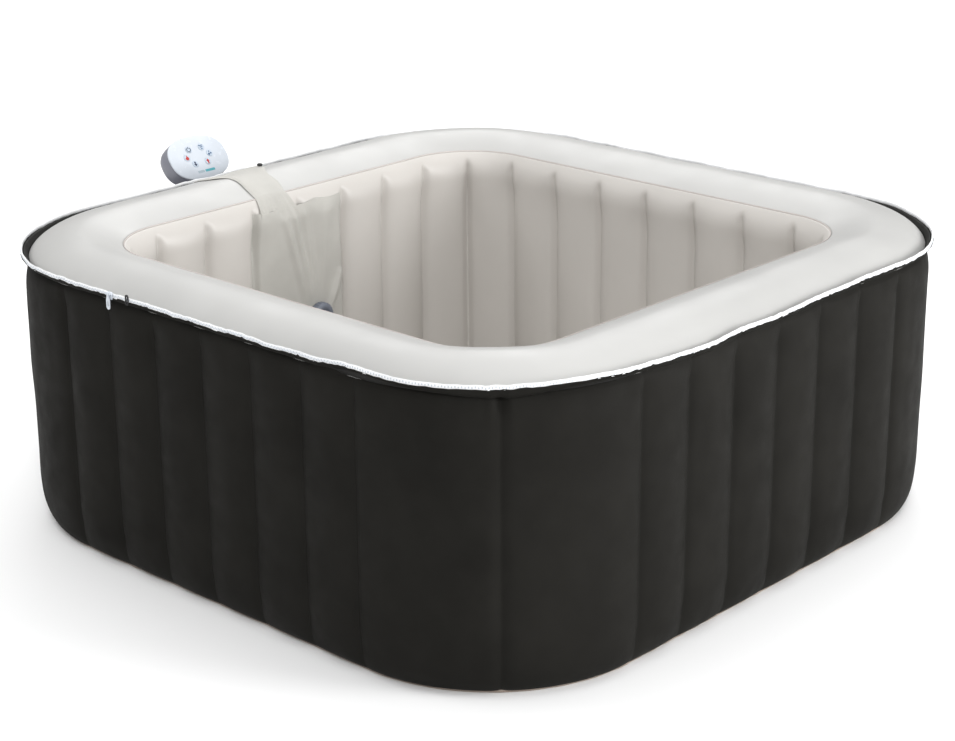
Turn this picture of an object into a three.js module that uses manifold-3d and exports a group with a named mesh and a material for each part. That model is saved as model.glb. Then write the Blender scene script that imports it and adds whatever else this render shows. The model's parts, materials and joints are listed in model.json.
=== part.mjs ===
// Inflatable hot tub: a square air chamber with round corners, a zip-off jacket, wall fittings
// and a pump and heater unit with a control head that stands behind the -X wall.
// Millimetres, +Z up. The origin is the centre of the tub's underside.
import * as THREE from 'three';
import { mergeVertices } from 'three/addons/utils/BufferGeometryUtils.js';
import Module from 'manifold-3d';

const wasm = await Module();
wasm.setup();

// ---- Driving dimensions ----
const PITCH = 142; // spacing of the vertical welds along a side
const CORNER = 3 * PITCH; // distance of each corner arc's centre from both axes
const ARC_STEPS = 6; // facets in each quarter-circle corner, an even number
const ROUND = 16; // facets round a small turned piece

const OUTER_R = 392; // widest point of the jacket, measured out from a corner's centre
const INNER_R = 142; // innermost point of the inner wall, measured the same way
const BOTTOM_INSET = 56; // how far the outer wall curves in at the floor
const BOTTOM_RISE = 120; // height over which it does so
const NECK_Z = 603; // crease under the zipper flange
const NECK_START_Z = 540; // height where the outer wall starts to curve in to the crease
const NECK_INSET = 14;
const NECK_R = OUTER_R - NECK_INSET;
const HEM_R = 388; // top of the jacket's hem, which leans out from the crease to the zipper
const HEM_Z = 617;
const LIP_R = 391; // outer face of the zipper, measured out from a corner's centre
const LIP_Z = 629;
const RIM_Z = 606; // height of the rim's outer foot
const RIM_RISE = 46; // crown of the rim above its outer foot
const RIM_MIDDLE = 267; // crown line of the rim, measured out from a corner's centre
const RIM_HALF = 107; // width of the rim's outer shoulder
const WELD_R = 170; // weld line between the rim and the inner wall
const WELD_Z = 620;
const SHOULDER_Z = 550; // height where the inner wall starts to lean out to the weld line
const TOE_Z = 90; // height where it starts to curve out to the floor
const TOE_SPREAD = 20;
const SKIN = 2; // thickness of the welded sheet
const JACKET = 3; // thickness of the padded jacket
const GAP = 0.3; // clearance between touching pieces
const FLOOR_TOP = 14; // top of the floor sheet
const DUCT_TOP = 30; // top of the bubble duct on the floor
const DUCT_INLET_X = -545; // where the air comes down into the duct

const WALL_X = -(CORNER + OUTER_R); // outer face of the -X wall
const INSIDE_X = -(CORNER + INNER_R); // tub-side face of the -X wall
const ZIPPER_FACE_Y = -(CORNER + LIP_R) - GAP; // face of the -Y zipper, where the slider runs
const SLIDER_X = -248;
const END_LOOP_X = -197; // rubber loop beside the slider
const STUD_X = -715; // press stud through the hose cover's strap
const STUD_Y = 2;
const FITTING_X = INSIDE_X + 7.6; // back of the fittings that sit on the hose cover inside the tub
const HOLE_CLEARANCE = 1; // play between a fitting and the hole it passes
const THREAD_PLAY = 0.5; // play between a nut or cap and its tube

// Fittings through the -X wall: place along Y, height, outer and inner radius of the tube.
const RETURN = { y: 35, z: 306, outer: 20, bore: 16 };
const SUCTION = { y: -71, z: 200, outer: 20, bore: 16 };
const AIR = { y: 105, z: 120, outer: 14, bore: 10 };
const DRAIN = { y: 355, z: 70, outer: 18, bore: 14 };
const AIR_VALVE = { y: -355, z: 450, outer: 16, bore: 9 };

// The unit's pipes end short of the wall tubes, at the joint inside each union nut.
const TUBE_END_X = -850;
const PIPE_END_X = TUBE_END_X - 0.5;
const UNIT = { front: -862, back: -1150, half: 170, floor: 18.6, top: 500, wall: 3, corner: 28 };
const PUMP = { face: -930, back: -990, radius: 56, wall: 4, outlet: 17, outletBore: 13, outletTop: 270 };
const HEATER = { x: -960, radius: 26, bore: 13, bottom: 336, top: 390 };
const BLOWER = { face: -955, back: -1015, radius: 48, wall: 3 };
const GLAND = { y: -110, z: 60, radius: 15, bore: 5 };
const UNIT_FLOOR = 18.3; // top of the unit's base, where its pump and blower stand
const PIPE_OUTER = 15;
const PIPE_BORE = 12;
const HEAD = { x: -937, z: 642, tilt: THREE.MathUtils.degToRad(52), length: 176, height: 118, depth: 50 };
const FACE_PLATE = 4; // thickness of the control head's front plate
const BUTTON_R = 8;
const BUTTON_RISE = 1.2; // how far a button stands proud of the plate
// Each button's place on the head, up its slope and along +Y from its middle.
const BUTTONS = {
  power: [24, -20],
  filter: [24, 20],
  heater: [4, -36],
  bubbles: [4, 36],
  cooler: [-16, -20],
  warmer: [-16, 20],
};
const HEAD_STEPS = 7; // facets in each quarter of the head's outline
const NECK_X = -1008; // where the head's neck leaves the unit's top

// ---- Materials ----
// Colour, roughness and metalness of each material.
const FINISH = {
  jacket: ['#2f2d2b', 0.62, 0],
  rim: ['#dedcd6', 0.5, 0],
  liner: ['#c4bcae', 0.5, 0],
  sheet: ['#8f8378', 0.6, 0],
  foam: ['#c9ccd0', 0.9, 0],
  web: ['#d8d4cc', 0.6, 0],
  zipper: ['#f2f2f0', 0.5, 0],
  cover: ['#c9c6b8', 0.6, 0],
  dark: ['#2b2b2e', 0.45, 0],
  fitting: ['#7f8796', 0.4, 0],
  filter: ['#eef0f2', 0.85, 0],
  shell: ['#5e6068', 0.45, 0],
  face: ['#eef2f6', 0.3, 0],
  button: ['#d5dde6', 0.35, 0],
  board: ['#1f6b45', 0.5, 0],
  steel: ['#b8bcc2', 0.3, 1],
  rubber: ['#1d1d1f', 0.8, 0],
  motor: ['#44474d', 0.4, 0.6],
};

const tub = new THREE.Group();

function add(name, finish, geometry, parent = tub) {
  const [color, roughness, metalness] = FINISH[finish];
  const mesh = new THREE.Mesh(geometry, new THREE.MeshStandardMaterial({ color, roughness, metalness }));
  mesh.name = name;
  parent.add(mesh);
  return mesh;
}

// ---- Boolean cuts and joins ----
function toSolid(geometry) {
  const bare = geometry.clone();
  bare.deleteAttribute('normal');
  bare.deleteAttribute('uv');
  const merged = mergeVertices(bare, 1e-3);
  const vertProperties = new Float32Array(merged.attributes.position.array);
  const triVerts = new Uint32Array(merged.index.array);
  return new wasm.Manifold(new wasm.Mesh({ numProp: 3, vertProperties, triVerts }));
}

function toGeometry(solid) {
  const mesh = solid.getMesh();
  const geometry = new THREE.BufferGeometry();
  geometry.setAttribute('position', new THREE.BufferAttribute(new Float32Array(mesh.vertProperties), 3));
  geometry.setIndex(Array.from(mesh.triVerts));
  return geometry;
}

function cut(geometry, cutters) {
  return toGeometry(cutters.reduce((solid, cutter) => solid.subtract(toSolid(cutter)), toSolid(geometry)));
}

function join(...geometries) {
  return toGeometry(geometries.map(toSolid).reduce((whole, part) => whole.add(part)));
}

function overlapOf(first, second) {
  return toGeometry(toSolid(first).intersect(toSolid(second)));
}

// ---- Basic shapes ----
// A turned piece about +Z. Its profile runs anticlockwise in (radius, height).
function turned(profile, segments = ROUND) {
  const points = profile.map(([r, z]) => new THREE.Vector2(r, z));
  return new THREE.LatheGeometry(points, segments).rotateX(Math.PI / 2);
}

// A turned piece about +X, whose heights are distances along X.
function turnedAlongX(profile, y, z, segments = ROUND) {
  return turned(profile, segments).rotateY(Math.PI / 2).translate(0, y, z);
}

function tubeProfile(bore, outer, start, end) {
  return [[bore, start], [outer, start], [outer, end], [bore, end], [bore, start]];
}

function rodProfile(radius, start, end) {
  return [[0, start], [radius, start], [radius, end], [0, end]];
}

function block(width, depth, height, x, y, z) {
  return new THREE.BoxGeometry(width, depth, height).translate(x, y, z);
}

function extruded(shape, depth, curveSegments = 4) {
  return new THREE.ExtrudeGeometry(shape, { depth, bevelEnabled: false, curveSegments });
}

function roundedRectangle(halfX, halfY, radius) {
  const shape = new THREE.Shape();
  shape.moveTo(halfX, radius - halfY);
  shape.absarc(halfX - radius, halfY - radius, radius, 0, Math.PI / 2);
  shape.absarc(radius - halfX, halfY - radius, radius, Math.PI / 2, Math.PI);
  shape.absarc(radius - halfX, radius - halfY, radius, Math.PI, 1.5 * Math.PI);
  shape.absarc(halfX - radius, radius - halfY, radius, 1.5 * Math.PI, 2 * Math.PI);
  return shape;
}

function pipeAlong(points, outer, bore, steps) {
  const section = new THREE.Shape().absarc(0, 0, outer, 0, 2 * Math.PI);
  section.holes.push(new THREE.Path().absarc(0, 0, bore, 0, 2 * Math.PI, true));
  const stops = points.map((point) => new THREE.Vector3(...point));
  const extrudePath = new THREE.CatmullRomCurve3(stops, false, 'centripetal');
  return new THREE.ExtrudeGeometry(section, { extrudePath, steps, curveSegments: 4, bevelEnabled: false });
}

// ---- Rounded-square rings and slabs ----
// Each station is a point of the square through the corner centres and its outward direction.
function stations() {
  const list = [];
  for (let corner = 0; corner < 4; corner += 1) {
    const middle = Math.PI / 4 + corner * Math.PI / 2;
    const base = [Math.sign(Math.cos(middle)) * CORNER, Math.sign(Math.sin(middle)) * CORNER];
    for (let step = 0; step <= ARC_STEPS; step += 1) {
      const angle = (corner + step / ARC_STEPS) * Math.PI / 2;
      list.push({ base, normal: [Math.cos(angle), Math.sin(angle)] });
    }
  }
  return list;
}

// A ring that follows the rounded square. Its profile runs anticlockwise in (offset, height).
function ring(profile) {
  const around = stations();
  const count = profile.length;
  const positions = [];
  for (const { base, normal } of around) {
    for (const [r, z] of profile) {
      positions.push(base[0] + r * normal[0], base[1] + r * normal[1], z);
    }
  }
  const index = [];
  for (let s = 0; s < around.length; s += 1) {
    const next = (s + 1) % around.length;
    for (let p = 0; p < count; p += 1) {
      const q = (p + 1) % count;
      const [a, b, c, d] = [s * count + p, s * count + q, next * count + q, next * count + p];
      index.push(a, d, b, b, d, c);
    }
  }
  const geometry = new THREE.BufferGeometry();
  geometry.setAttribute('position', new THREE.Float32BufferAttribute(positions, 3));
  geometry.setIndex(index);
  return geometry;
}

function slab(offset, bottom, top) {
  const shape = new THREE.Shape();
  for (let corner = 0; corner < 4; corner += 1) {
    const middle = Math.PI / 4 + corner * Math.PI / 2;
    const x = Math.sign(Math.cos(middle)) * CORNER;
    const y = Math.sign(Math.sin(middle)) * CORNER;
    shape.absarc(x, y, offset, corner * Math.PI / 2, (corner + 1) * Math.PI / 2);
  }
  return extruded(shape, top - bottom, ARC_STEPS / 2).translate(0, 0, bottom);
}

// ---- Outlines of the air chamber, as offsets from the corner centres ----
function outerWallAt(z) {
  const low = Math.max(0, (BOTTOM_RISE - z) / BOTTOM_RISE);
  const high = Math.max(0, (z - NECK_START_Z) / (NECK_Z - NECK_START_Z));
  const bottomCurve = BOTTOM_INSET * (1 - Math.sqrt(1 - low * low));
  const neckCurve = NECK_INSET * (1 - Math.sqrt(1 - high * high));
  return OUTER_R - bottomCurve - neckCurve;
}

function innerWallAt(z) {
  const lean = Math.max(0, (z - SHOULDER_Z) / (WELD_Z - SHOULDER_Z));
  const toe = Math.max(0, (TOE_Z - z) / (TOE_Z - FLOOR_TOP));
  return INNER_R + (WELD_R - INNER_R) * lean ** 2.4 + TOE_SPREAD * toe ** 2;
}

// The rim has a steep outer shoulder and a long slope down to its inner weld line.
function rimAt(r) {
  const crown = RIM_Z + RIM_RISE;
  if (r < RIM_MIDDLE) {
    const inward = (RIM_MIDDLE - r) / (RIM_MIDDLE - WELD_R);
    return crown - (crown - WELD_Z) * inward ** 1.6;
  }
  const outward = (r - RIM_MIDDLE) / RIM_HALF;
  return RIM_Z + RIM_RISE * Math.max(0, 1 - outward * outward) ** 0.65;
}

function outerWallLine(heights, inset) {
  return heights.map((z) => [outerWallAt(z) - inset, z]);
}

function innerWallLine(heights, outset) {
  return heights.map((z) => [innerWallAt(z) + outset, z]);
}

// Line over the rim from its outer foot to its weld line, grown by that much in width and height.
function rimLine(growth) {
  const outerSide = [0, 14, 34, 60, 90].map((degrees) => {
    const across = Math.cos(THREE.MathUtils.degToRad(degrees));
    return [RIM_MIDDLE + (RIM_HALF + growth) * across, rimAt(RIM_MIDDLE + RIM_HALF * across) + growth];
  });
  const slope = RIM_MIDDLE - WELD_R;
  const innerSide = [0.4, 0.7, 1].map((share) => (
    [RIM_MIDDLE - (slope + growth) * share, rimAt(RIM_MIDDLE - slope * share) + growth]));
  return [...outerSide, ...innerSide];
}

function holeAlongX({ y, z, outer }, start, end) {
  return turnedAlongX(rodProfile(outer + HOLE_CLEARANCE, start, end), y, z);
}

// ---- Tub: sheets, walls and webs ----
function addFloor() {
  add('bottom_sheet', 'sheet', slab(340, 0, SKIN));
  add('floor_pad', 'foam', slab(325, SKIN + GAP, FLOOR_TOP - SKIN - GAP));
  add('floor_sheet', 'liner', slab(163, FLOOR_TOP - SKIN, FLOOR_TOP));
}

function addWalls() {
  const through = [RETURN, SUCTION, AIR, DRAIN];
  const outerHoles = [...through, AIR_VALVE].map((port) => holeAlongX(port, WALL_X - 20, WALL_X + 60));
  const innerHoles = through.map((port) => holeAlongX(port, INSIDE_X - 30, INSIDE_X + 10));

  const heights = [3, 20, 55, BOTTOM_RISE, NECK_START_Z, 582, NECK_Z];
  const jacketOutside = [...outerWallLine(heights, 0), [HEM_R, HEM_Z]];
  const jacketInside = [[HEM_R - JACKET, HEM_Z], ...outerWallLine(heights, JACKET).reverse()];
  add('outer_jacket', 'jacket', cut(ring([...jacketOutside, ...jacketInside]), outerHoles));

  const wallOutside = outerWallLine(heights, JACKET + 1);
  const wallInside = outerWallLine(heights, JACKET + 1 + SKIN).reverse();
  add('outer_wall', 'web', cut(ring([...wallOutside, ...wallInside]), outerHoles));

  const innerHeights = [FLOOR_TOP + 0.4, 50, TOE_Z, SHOULDER_Z, 590, 606, WELD_Z - 1.5];
  const chamberSide = innerWallLine(innerHeights, SKIN);
  const tubSide = innerWallLine(innerHeights, 0).reverse();
  add('inner_wall', 'liner', cut(ring([...chamberSide, ...tubSide]), innerHoles));

  const footInside = [RIM_MIDDLE + RIM_HALF - SKIN, RIM_Z];
  const rimInside = [footInside, ...rimLine(-SKIN).slice(1)].reverse();
  add('rim_skin', 'rim', ring([...rimLine(0), ...rimInside]));
}

// The welded webs hold the two walls parallel. Each side's webs hang from one strip on the outer wall,
// which runs on round the corner to the web on the diagonal.
function websPlan() {
  const strip = OUTER_R - JACKET - 1 - SKIN - GAP; // outer face of the strip
  const stripInside = strip - SKIN;
  const tip = INNER_R + SKIN + GAP;
  const start = 0.6 - CORNER; // clear of the neighbouring side's last web
  const facet = Math.PI / 2 / ARC_STEPS;
  const cornerPoint = (r, angle, aside = 0) => new THREE.Vector2(
    CORNER + r * Math.cos(angle) + aside * Math.sin(angle),
    CORNER + r * Math.sin(angle) - aside * Math.cos(angle));
  const outline = [new THREE.Vector2(CORNER + strip, start)];
  for (let step = 0; step <= ARC_STEPS / 2; step += 1) {
    outline.push(cornerPoint(strip, step * facet));
  }
  outline.push(cornerPoint(tip, Math.PI / 4), cornerPoint(tip, Math.PI / 4, SKIN));
  outline.push(cornerPoint(stripInside, Math.PI / 4, SKIN));
  for (let step = ARC_STEPS / 2 - 1; step > 0; step -= 1) {
    outline.push(cornerPoint(stripInside, step * facet));
  }
  for (let place = CORNER; place >= -CORNER; place -= PITCH) {
    const low = Math.max(place - SKIN / 2, start);
    outline.push(new THREE.Vector2(CORNER + stripInside, place + SKIN / 2));
    outline.push(new THREE.Vector2(CORNER + tip, place + SKIN / 2), new THREE.Vector2(CORNER + tip, low));
    if (low > start) {
      outline.push(new THREE.Vector2(CORNER + stripInside, low));
    }
  }
  return new THREE.Shape(outline);
}

function addWebs() {
  const height = NECK_START_Z - BOTTOM_RISE;
  const sleeves = [RETURN, SUCTION, AIR, AIR_VALVE]
    .map((port) => holeAlongX(port, WALL_X - 20, WALL_X + 60));
  ['right', 'back', 'left', 'front'].forEach((side, quarter) => {
    const webs = extruded(websPlan(), height).translate(0, 0, BOTTOM_RISE).rotateZ(quarter * Math.PI / 2);
    add(`webs_${side}`, 'web', side === 'left' ? cut(webs, sleeves) : webs);
  });
}

// A flat-topped channel on the floor along the foot of the inner wall, open underneath.
function addBubbleDuct() {
  const foot = FLOOR_TOP + 0.4;
  const outside = [[148, foot], [140, DUCT_TOP], [110, DUCT_TOP], [102, foot]];
  const inside = [[105, foot], [112, DUCT_TOP - SKIN], [138, DUCT_TOP - SKIN], [145, foot]];
  const inlet = turned(rodProfile(8, DUCT_TOP - 10, DUCT_TOP + 10)).translate(DUCT_INLET_X, AIR.y, 0);
  add('bubble_duct', 'liner', cut(ring([...outside, ...inside]), [inlet]));
}

// ---- Zipper between the jacket and the rim ----
function addZipperTape() {
  const root = NECK_R - JACKET - 0.5;
  const hemInside = HEM_R - JACKET - 0.5;
  const lowerFace = [[root, NECK_Z + 0.6], [hemInside, HEM_Z + 0.6], [LIP_R - 0.5, HEM_Z + 0.8]];
  const upperFace = [[LIP_R, LIP_Z], [LIP_R - 3, LIP_Z + 1.5], [LIP_R - 5.5, HEM_Z + 4], [root, RIM_Z + 2]];
  add('zipper_tape', 'zipper', ring([...lowerFace, ...upperFace]));
}

// The slider's pull hangs from a pin between two ears on the slider's face.
function addSlider() {
  const pivotY = ZIPPER_FACE_Y - 8.2;
  const pivotZ = LIP_Z;
  const earPlace = 5.4;
  const body = block(13, 5, 16, SLIDER_X, ZIPPER_FACE_Y - 2.5, pivotZ - 5.5);
  const ears = [-earPlace, earPlace].map((x) => block(1.8, 6, 5, SLIDER_X + x, ZIPPER_FACE_Y - 7.4, pivotZ));
  const pin = turnedAlongX(rodProfile(1.1, SLIDER_X - earPlace, SLIDER_X + earPlace), pivotY, pivotZ, 12);
  add('zipper_slider', 'zipper', join(body, ...ears, pin));

  const thickness = 2.2;
  const paddleLength = 29;
  const paddleWidth = 10;
  const barrel = turnedAlongX(tubeProfile(1.5, 2.8, SLIDER_X - 3.8, SLIDER_X + 3.8), pivotY, pivotZ, 12);
  const paddle = extruded(roundedRectangle(paddleWidth / 2, paddleLength / 2, 4.9), thickness)
    .rotateX(Math.PI / 2).translate(SLIDER_X, pivotY + 0.6, pivotZ - 17);
  const belowBarrel = block(20, 10, 40, SLIDER_X, pivotY, pivotZ - 22);
  const link = block(6, thickness, 6, SLIDER_X, pivotY - 0.5, pivotZ - 4.8);
  add('zipper_pull', 'zipper', join(barrel, overlapOf(paddle, belowBarrel), link));
}

function addEndLoop() {
  const shape = roundedRectangle(4.5, 11, 4);
  shape.holes.push(new THREE.Path(roundedRectangle(2.2, 8, 2).getPoints(3).reverse()));
  const loop = extruded(shape, 2.5, 3).rotateX(Math.PI / 2);
  add('zipper_end_loop', 'rubber', loop.translate(END_LOOP_X, ZIPPER_FACE_Y, LIP_Z - 5));
}

// ---- Hose cover: a cloth strap over the rim and an apron over the fittings ----
function addHoseCover() {
  const lift = 1.5; // the cloth lies this far off the rim
  const cloth = 4;
  const strapWidth = 180;
  const strapEnd = -160;
  const apronBack = INSIDE_X + 3;
  const joinZ = 568; // height where the strap meets the apron
  const rimStretch = (rise) => rimLine(rise).slice(2).map(([r, z]) => [-(CORNER + r), z]);
  const underside = [...rimStretch(lift), [INSIDE_X - 14, 606], [INSIDE_X - 5, 590], [apronBack, joinZ]];
  const topside = [...rimStretch(lift + cloth), [INSIDE_X - 11, 609], [INSIDE_X - 1, 592],
    [apronBack + cloth, joinZ]];
  const section = [...underside, ...topside.reverse()];
  const strapShape = new THREE.Shape(section.map(([x, z]) => new THREE.Vector2(x, z)));
  const strapBlank = extruded(strapShape, strapWidth)
    .rotateX(Math.PI / 2).translate(0, strapEnd + strapWidth, 0);
  const plan = new THREE.Shape([[-800, -156], [-700, -152], [-667, -118], [-560, -120],
    [-560, -22], [-628, -17], [-686, 9], [-800, 18]].map(([x, y]) => new THREE.Vector2(x, y)));
  const strap = overlapOf(strapBlank, extruded(plan, RIM_Z).translate(0, 0, RIM_Z / 2));
  const apronWidth = 290;
  const apronMiddle = -8;
  const apronLow = 140;
  const apronHigh = joinZ + 7;
  const apron = block(cloth, apronWidth, apronHigh - apronLow,
    apronBack + cloth / 2, apronMiddle, (apronHigh + apronLow) / 2);
  const stud = turned(rodProfile(5, RIM_Z, RIM_Z + 2 * RIM_RISE)).translate(STUD_X, STUD_Y, 0);
  const holes = [RETURN, SUCTION].map((port) => holeAlongX(port, INSIDE_X - 20, INSIDE_X + 20));
  add('hose_cover', 'cover', cut(join(strap, apron), [...holes, stud]));
}

// ---- Press stud that holds the strap to the rim ----
function addPressStud() {
  const rimTop = rimAt(-STUD_X - CORNER);
  const stud = [[0, 1.2], [4, 1.2], [4, 6.4], [6.5, 6.4], [6.5, 8], [4.5, 9.6], [0, 10]];
  add('press_stud', 'rubber', turned(stud.map(([r, z]) => [r, z + rimTop])).translate(STUD_X, STUD_Y, 0));
}

// ---- Fittings through the -X wall ----
// Copies of a piece turned about an axis along X, then moved out to the port's place.
function spokes(count, piece, { y, z }, turn = 2 * Math.PI / count) {
  return Array.from({ length: count }, (_, n) => piece.clone().rotateX(n * turn).translate(0, y, z));
}

function wallTube(port, flange, outerEnd, innerEnd) {
  const insideFace = INSIDE_X + 0.6;
  return [[port.bore, outerEnd], [port.outer, outerEnd], [port.outer, insideFace],
    [flange, insideFace], [flange, insideFace + 2], [port.outer, insideFace + 2],
    [port.outer, innerEnd], [port.bore, innerEnd], [port.bore, outerEnd]];
}

function addFittings() {
  const neckEnd = INSIDE_X + 20;
  const airEnd = INSIDE_X + 12;
  const tubes = [
    ['return', RETURN, 30, neckEnd],
    ['suction', SUCTION, 30, neckEnd],
    ['air', AIR, 20, airEnd],
  ];
  for (const [name, port, flange, innerEnd] of tubes) {
    const profile = wallTube(port, flange, TUBE_END_X, innerEnd);
    add(`${name}_sleeve`, 'fitting', turnedAlongX(profile, port.y, port.z));
  }
  const { y, z } = AIR;
  const airDrop = [[airEnd + GAP, y, z], [DUCT_INLET_X - 6, y, z - 1], [DUCT_INLET_X, y, z - 14],
    [DUCT_INLET_X, y, z / 2], [DUCT_INLET_X, y, DUCT_TOP + 0.4]];
  add('air_elbow', 'fitting', pipeAlong(airDrop, 9, 6.5, 14));

  addReturnGrille();
  addFilter();
  addUnionNuts();
  addDrain();
  addAirValve();
}

function addReturnGrille() {
  const start = FITTING_X;
  const face = start + 22;
  const radius = 34;
  const wall = 4;
  const bore = RETURN.outer + 0.6;
  const outside = [[bore, start], [radius - 2, start], [radius, start + 2], [radius, face - 5],
    [radius - 4, face]];
  const inside = [[0, face - wall], [bore - 5.6, face - wall], [bore, start + 13], [bore, start]];
  const profile = [...outside, [0, face], ...inside];
  const slots = spokes(6, block(12, 12, 4.5, face - 2, 14, 0), RETURN);
  const grip = block(5, 4, 18, face + 2, RETURN.y, RETURN.z);
  add('return_grille', 'fitting', join(cut(turnedAlongX(profile, RETURN.y, RETURN.z), slots), grip));
}

function pleatedStar(pleats, crest, root) {
  const corners = Array.from({ length: 2 * pleats }, (_, n) => {
    const radius = n % 2 === 0 ? crest : root;
    const angle = n * Math.PI / pleats;
    return new THREE.Vector2(radius * Math.cos(angle), radius * Math.sin(angle));
  });
  return new THREE.Shape(corners);
}

function addFilter() {
  const { y, z } = SUCTION;
  const start = FITTING_X;
  const front = start + 72;
  const radius = 54;
  const cupBore = SUCTION.outer + 0.4;
  const outside = [[cupBore, start], [radius, start], [radius, front]];
  const inside = [[radius - 3, front], [radius - 3, start + 4], [cupBore, start + 4], [cupBore, start]];
  const windows = spokes(4, block(36, 120, 14, start + 40, 0, 0), SUCTION, Math.PI / 4);
  add('filter_cup', 'fitting', cut(turnedAlongX([...outside, ...inside], y, z), windows));

  const star = pleatedStar(20, 47, 36);
  star.holes.push(new THREE.Path().absarc(0, 0, 22, 0, 2 * Math.PI, true));
  add('filter_cartridge', 'filter', extruded(star, 62, 6).rotateY(Math.PI / 2).translate(start + 8, y, z));

  const lidTop = front + 9;
  const lid = [[0, front + GAP], [57, front + GAP], [57, front + 6], [50, lidTop], [0, lidTop]];
  const grip = block(10, 8, 70, lidTop + 3, y, z);
  const spigot = turnedAlongX(rodProfile(18, front - 20, front + 3), y, z);
  add('filter_cap', 'fitting', join(turnedAlongX(lid, y, z), grip, spigot));
}

function addUnionNuts() {
  const start = WALL_X - 30;
  const end = WALL_X - 4;
  const ribLength = 22;
  const rib = 5;
  for (const [name, port] of Object.entries({ return: RETURN, suction: SUCTION, air: AIR })) {
    const outer = port.outer + 12;
    const profile = tubeProfile(port.outer + THREAD_PLAY, outer, start, end);
    const ribs = spokes(6, block(ribLength, rib, rib, (start + end) / 2, outer, 0), port);
    add(`${name}_union_nut`, 'dark', join(turnedAlongX(profile, port.y, port.z), ...ribs));
  }
}

function addDrain() {
  const { y, z, outer, bore } = DRAIN;
  const outerEnd = WALL_X - 10;
  const innerEnd = INSIDE_X + 4;
  add('drain_sleeve', 'fitting', turnedAlongX(wallTube(DRAIN, 26, outerEnd, innerEnd), y, z));
  const seat = innerEnd + GAP;
  const plugRadius = bore - 0.6;
  const plug = [[0, seat - 26], [plugRadius, seat - 26], [plugRadius, seat], [21, seat], [21, seat + 4],
    [5, seat + 6], [5, seat + 14], [0, seat + 14]];
  add('drain_plug', 'rubber', turnedAlongX(plug, y, z));
  const capRadius = 25;
  const capBore = outer + THREAD_PLAY;
  const face = outerEnd - GAP - 4;
  const capOutside = [[0, face], [capRadius, face], [capRadius, face + 15]];
  const capInside = [[capBore, face + 15], [capBore, face + 4], [0, face + 4]];
  add('drain_cap', 'dark', turnedAlongX([...capOutside, ...capInside], y, z));
}

function addAirValve() {
  const { y, z, bore, outer } = AIR_VALVE;
  const flange = WALL_X - 3;
  const mouth = flange - 12;
  const mouthRadius = 14;
  const inner = WALL_X + 30;
  const lipBore = 6;
  const baseOutside = [[bore, mouth], [mouthRadius, mouth], [mouthRadius, flange], [26, flange],
    [26, flange + 2.5], [outer, flange + 2.5], [outer, inner]];
  const baseInside = [[lipBore, inner], [lipBore, inner - 3], [bore, inner - 3], [bore, mouth]];
  add('air_valve_base', 'dark', turnedAlongX([...baseOutside, ...baseInside], y, z));

  const poppet = flange + 10;
  const poppetRadius = bore - THREAD_PLAY;
  const stem = [[0, flange - 8], [3, flange - 8], [3, poppet], [poppetRadius, poppet],
    [poppetRadius, poppet + 4], [0, poppet + 4]];
  add('air_valve_plunger', 'fitting', turnedAlongX(stem, y, z));

  const capBore = mouthRadius + THREAD_PLAY;
  const capEnd = flange - 1;
  const face = mouth - GAP - 3;
  const capOutside = [[0, face], [18, face], [19, face + 2], [19, capEnd]];
  const capInside = [[capBore, capEnd], [capBore, face + 3], [0, face + 3]];
  const grip = block(6, 4, 24, face - 2, y, z);
  add('air_valve_cap', 'dark', join(turnedAlongX([...capOutside, ...capInside], y, z), grip));
}

// ---- Pump and heater unit behind the -X wall ----
function unitPlan(inset) {
  const half = (UNIT.front - UNIT.back) / 2;
  return roundedRectangle(half - inset, UNIT.half - inset, UNIT.corner - inset);
}

function addUnitCase() {
  const middle = (UNIT.front + UNIT.back) / 2;
  const trayBottom = 6;
  const tray = extruded(unitPlan(0), 12).translate(middle, 0, trayBottom);
  const foot = turned(rodProfile(16, 0, trayBottom + 2));
  const feet = [[-105, -130], [-105, 130], [105, -130], [105, 130]].map(([x, y]) => (
    foot.clone().translate(middle + x, y, 0)));
  add('unit_base', 'dark', join(tray, ...feet));

  const outside = extruded(unitPlan(0), UNIT.top - UNIT.floor).translate(middle, 0, UNIT.floor);
  const hollowHeight = UNIT.top - UNIT.wall - UNIT.floor + 1;
  const inside = extruded(unitPlan(UNIT.wall), hollowHeight).translate(middle, 0, UNIT.floor - 1);
  const ports = [RETURN, SUCTION, AIR].map((port) => holeAlongX(port, UNIT.front - 10, UNIT.front + 10));
  const vents = [90, 106, 122, 138, 154, 170].map((z) => block(20, 160, 6, UNIT.back, 0, z));
  const cordHole = turnedAlongX(rodProfile(11, UNIT.back - 10, UNIT.back + 10), GLAND.y, GLAND.z);
  const neckHole = turned(rodProfile(13, UNIT.top - 20, UNIT.top + 10)).translate(NECK_X, 0, 0);
  add('unit_shell', 'shell', cut(outside, [inside, ...ports, ...vents, cordHole, neckHole]));
}

// The flexible inlet that guards the mains cord.
function addGland() {
  const { y, z, radius, bore } = GLAND;
  const seat = UNIT.back - GAP;
  const tip = UNIT.back - 14;
  const profile = [[bore, tip], [radius - 6, tip], [radius, seat], [bore, seat], [bore, tip]];
  add('mains_gland', 'rubber', turnedAlongX(profile, y, z));
}

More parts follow.
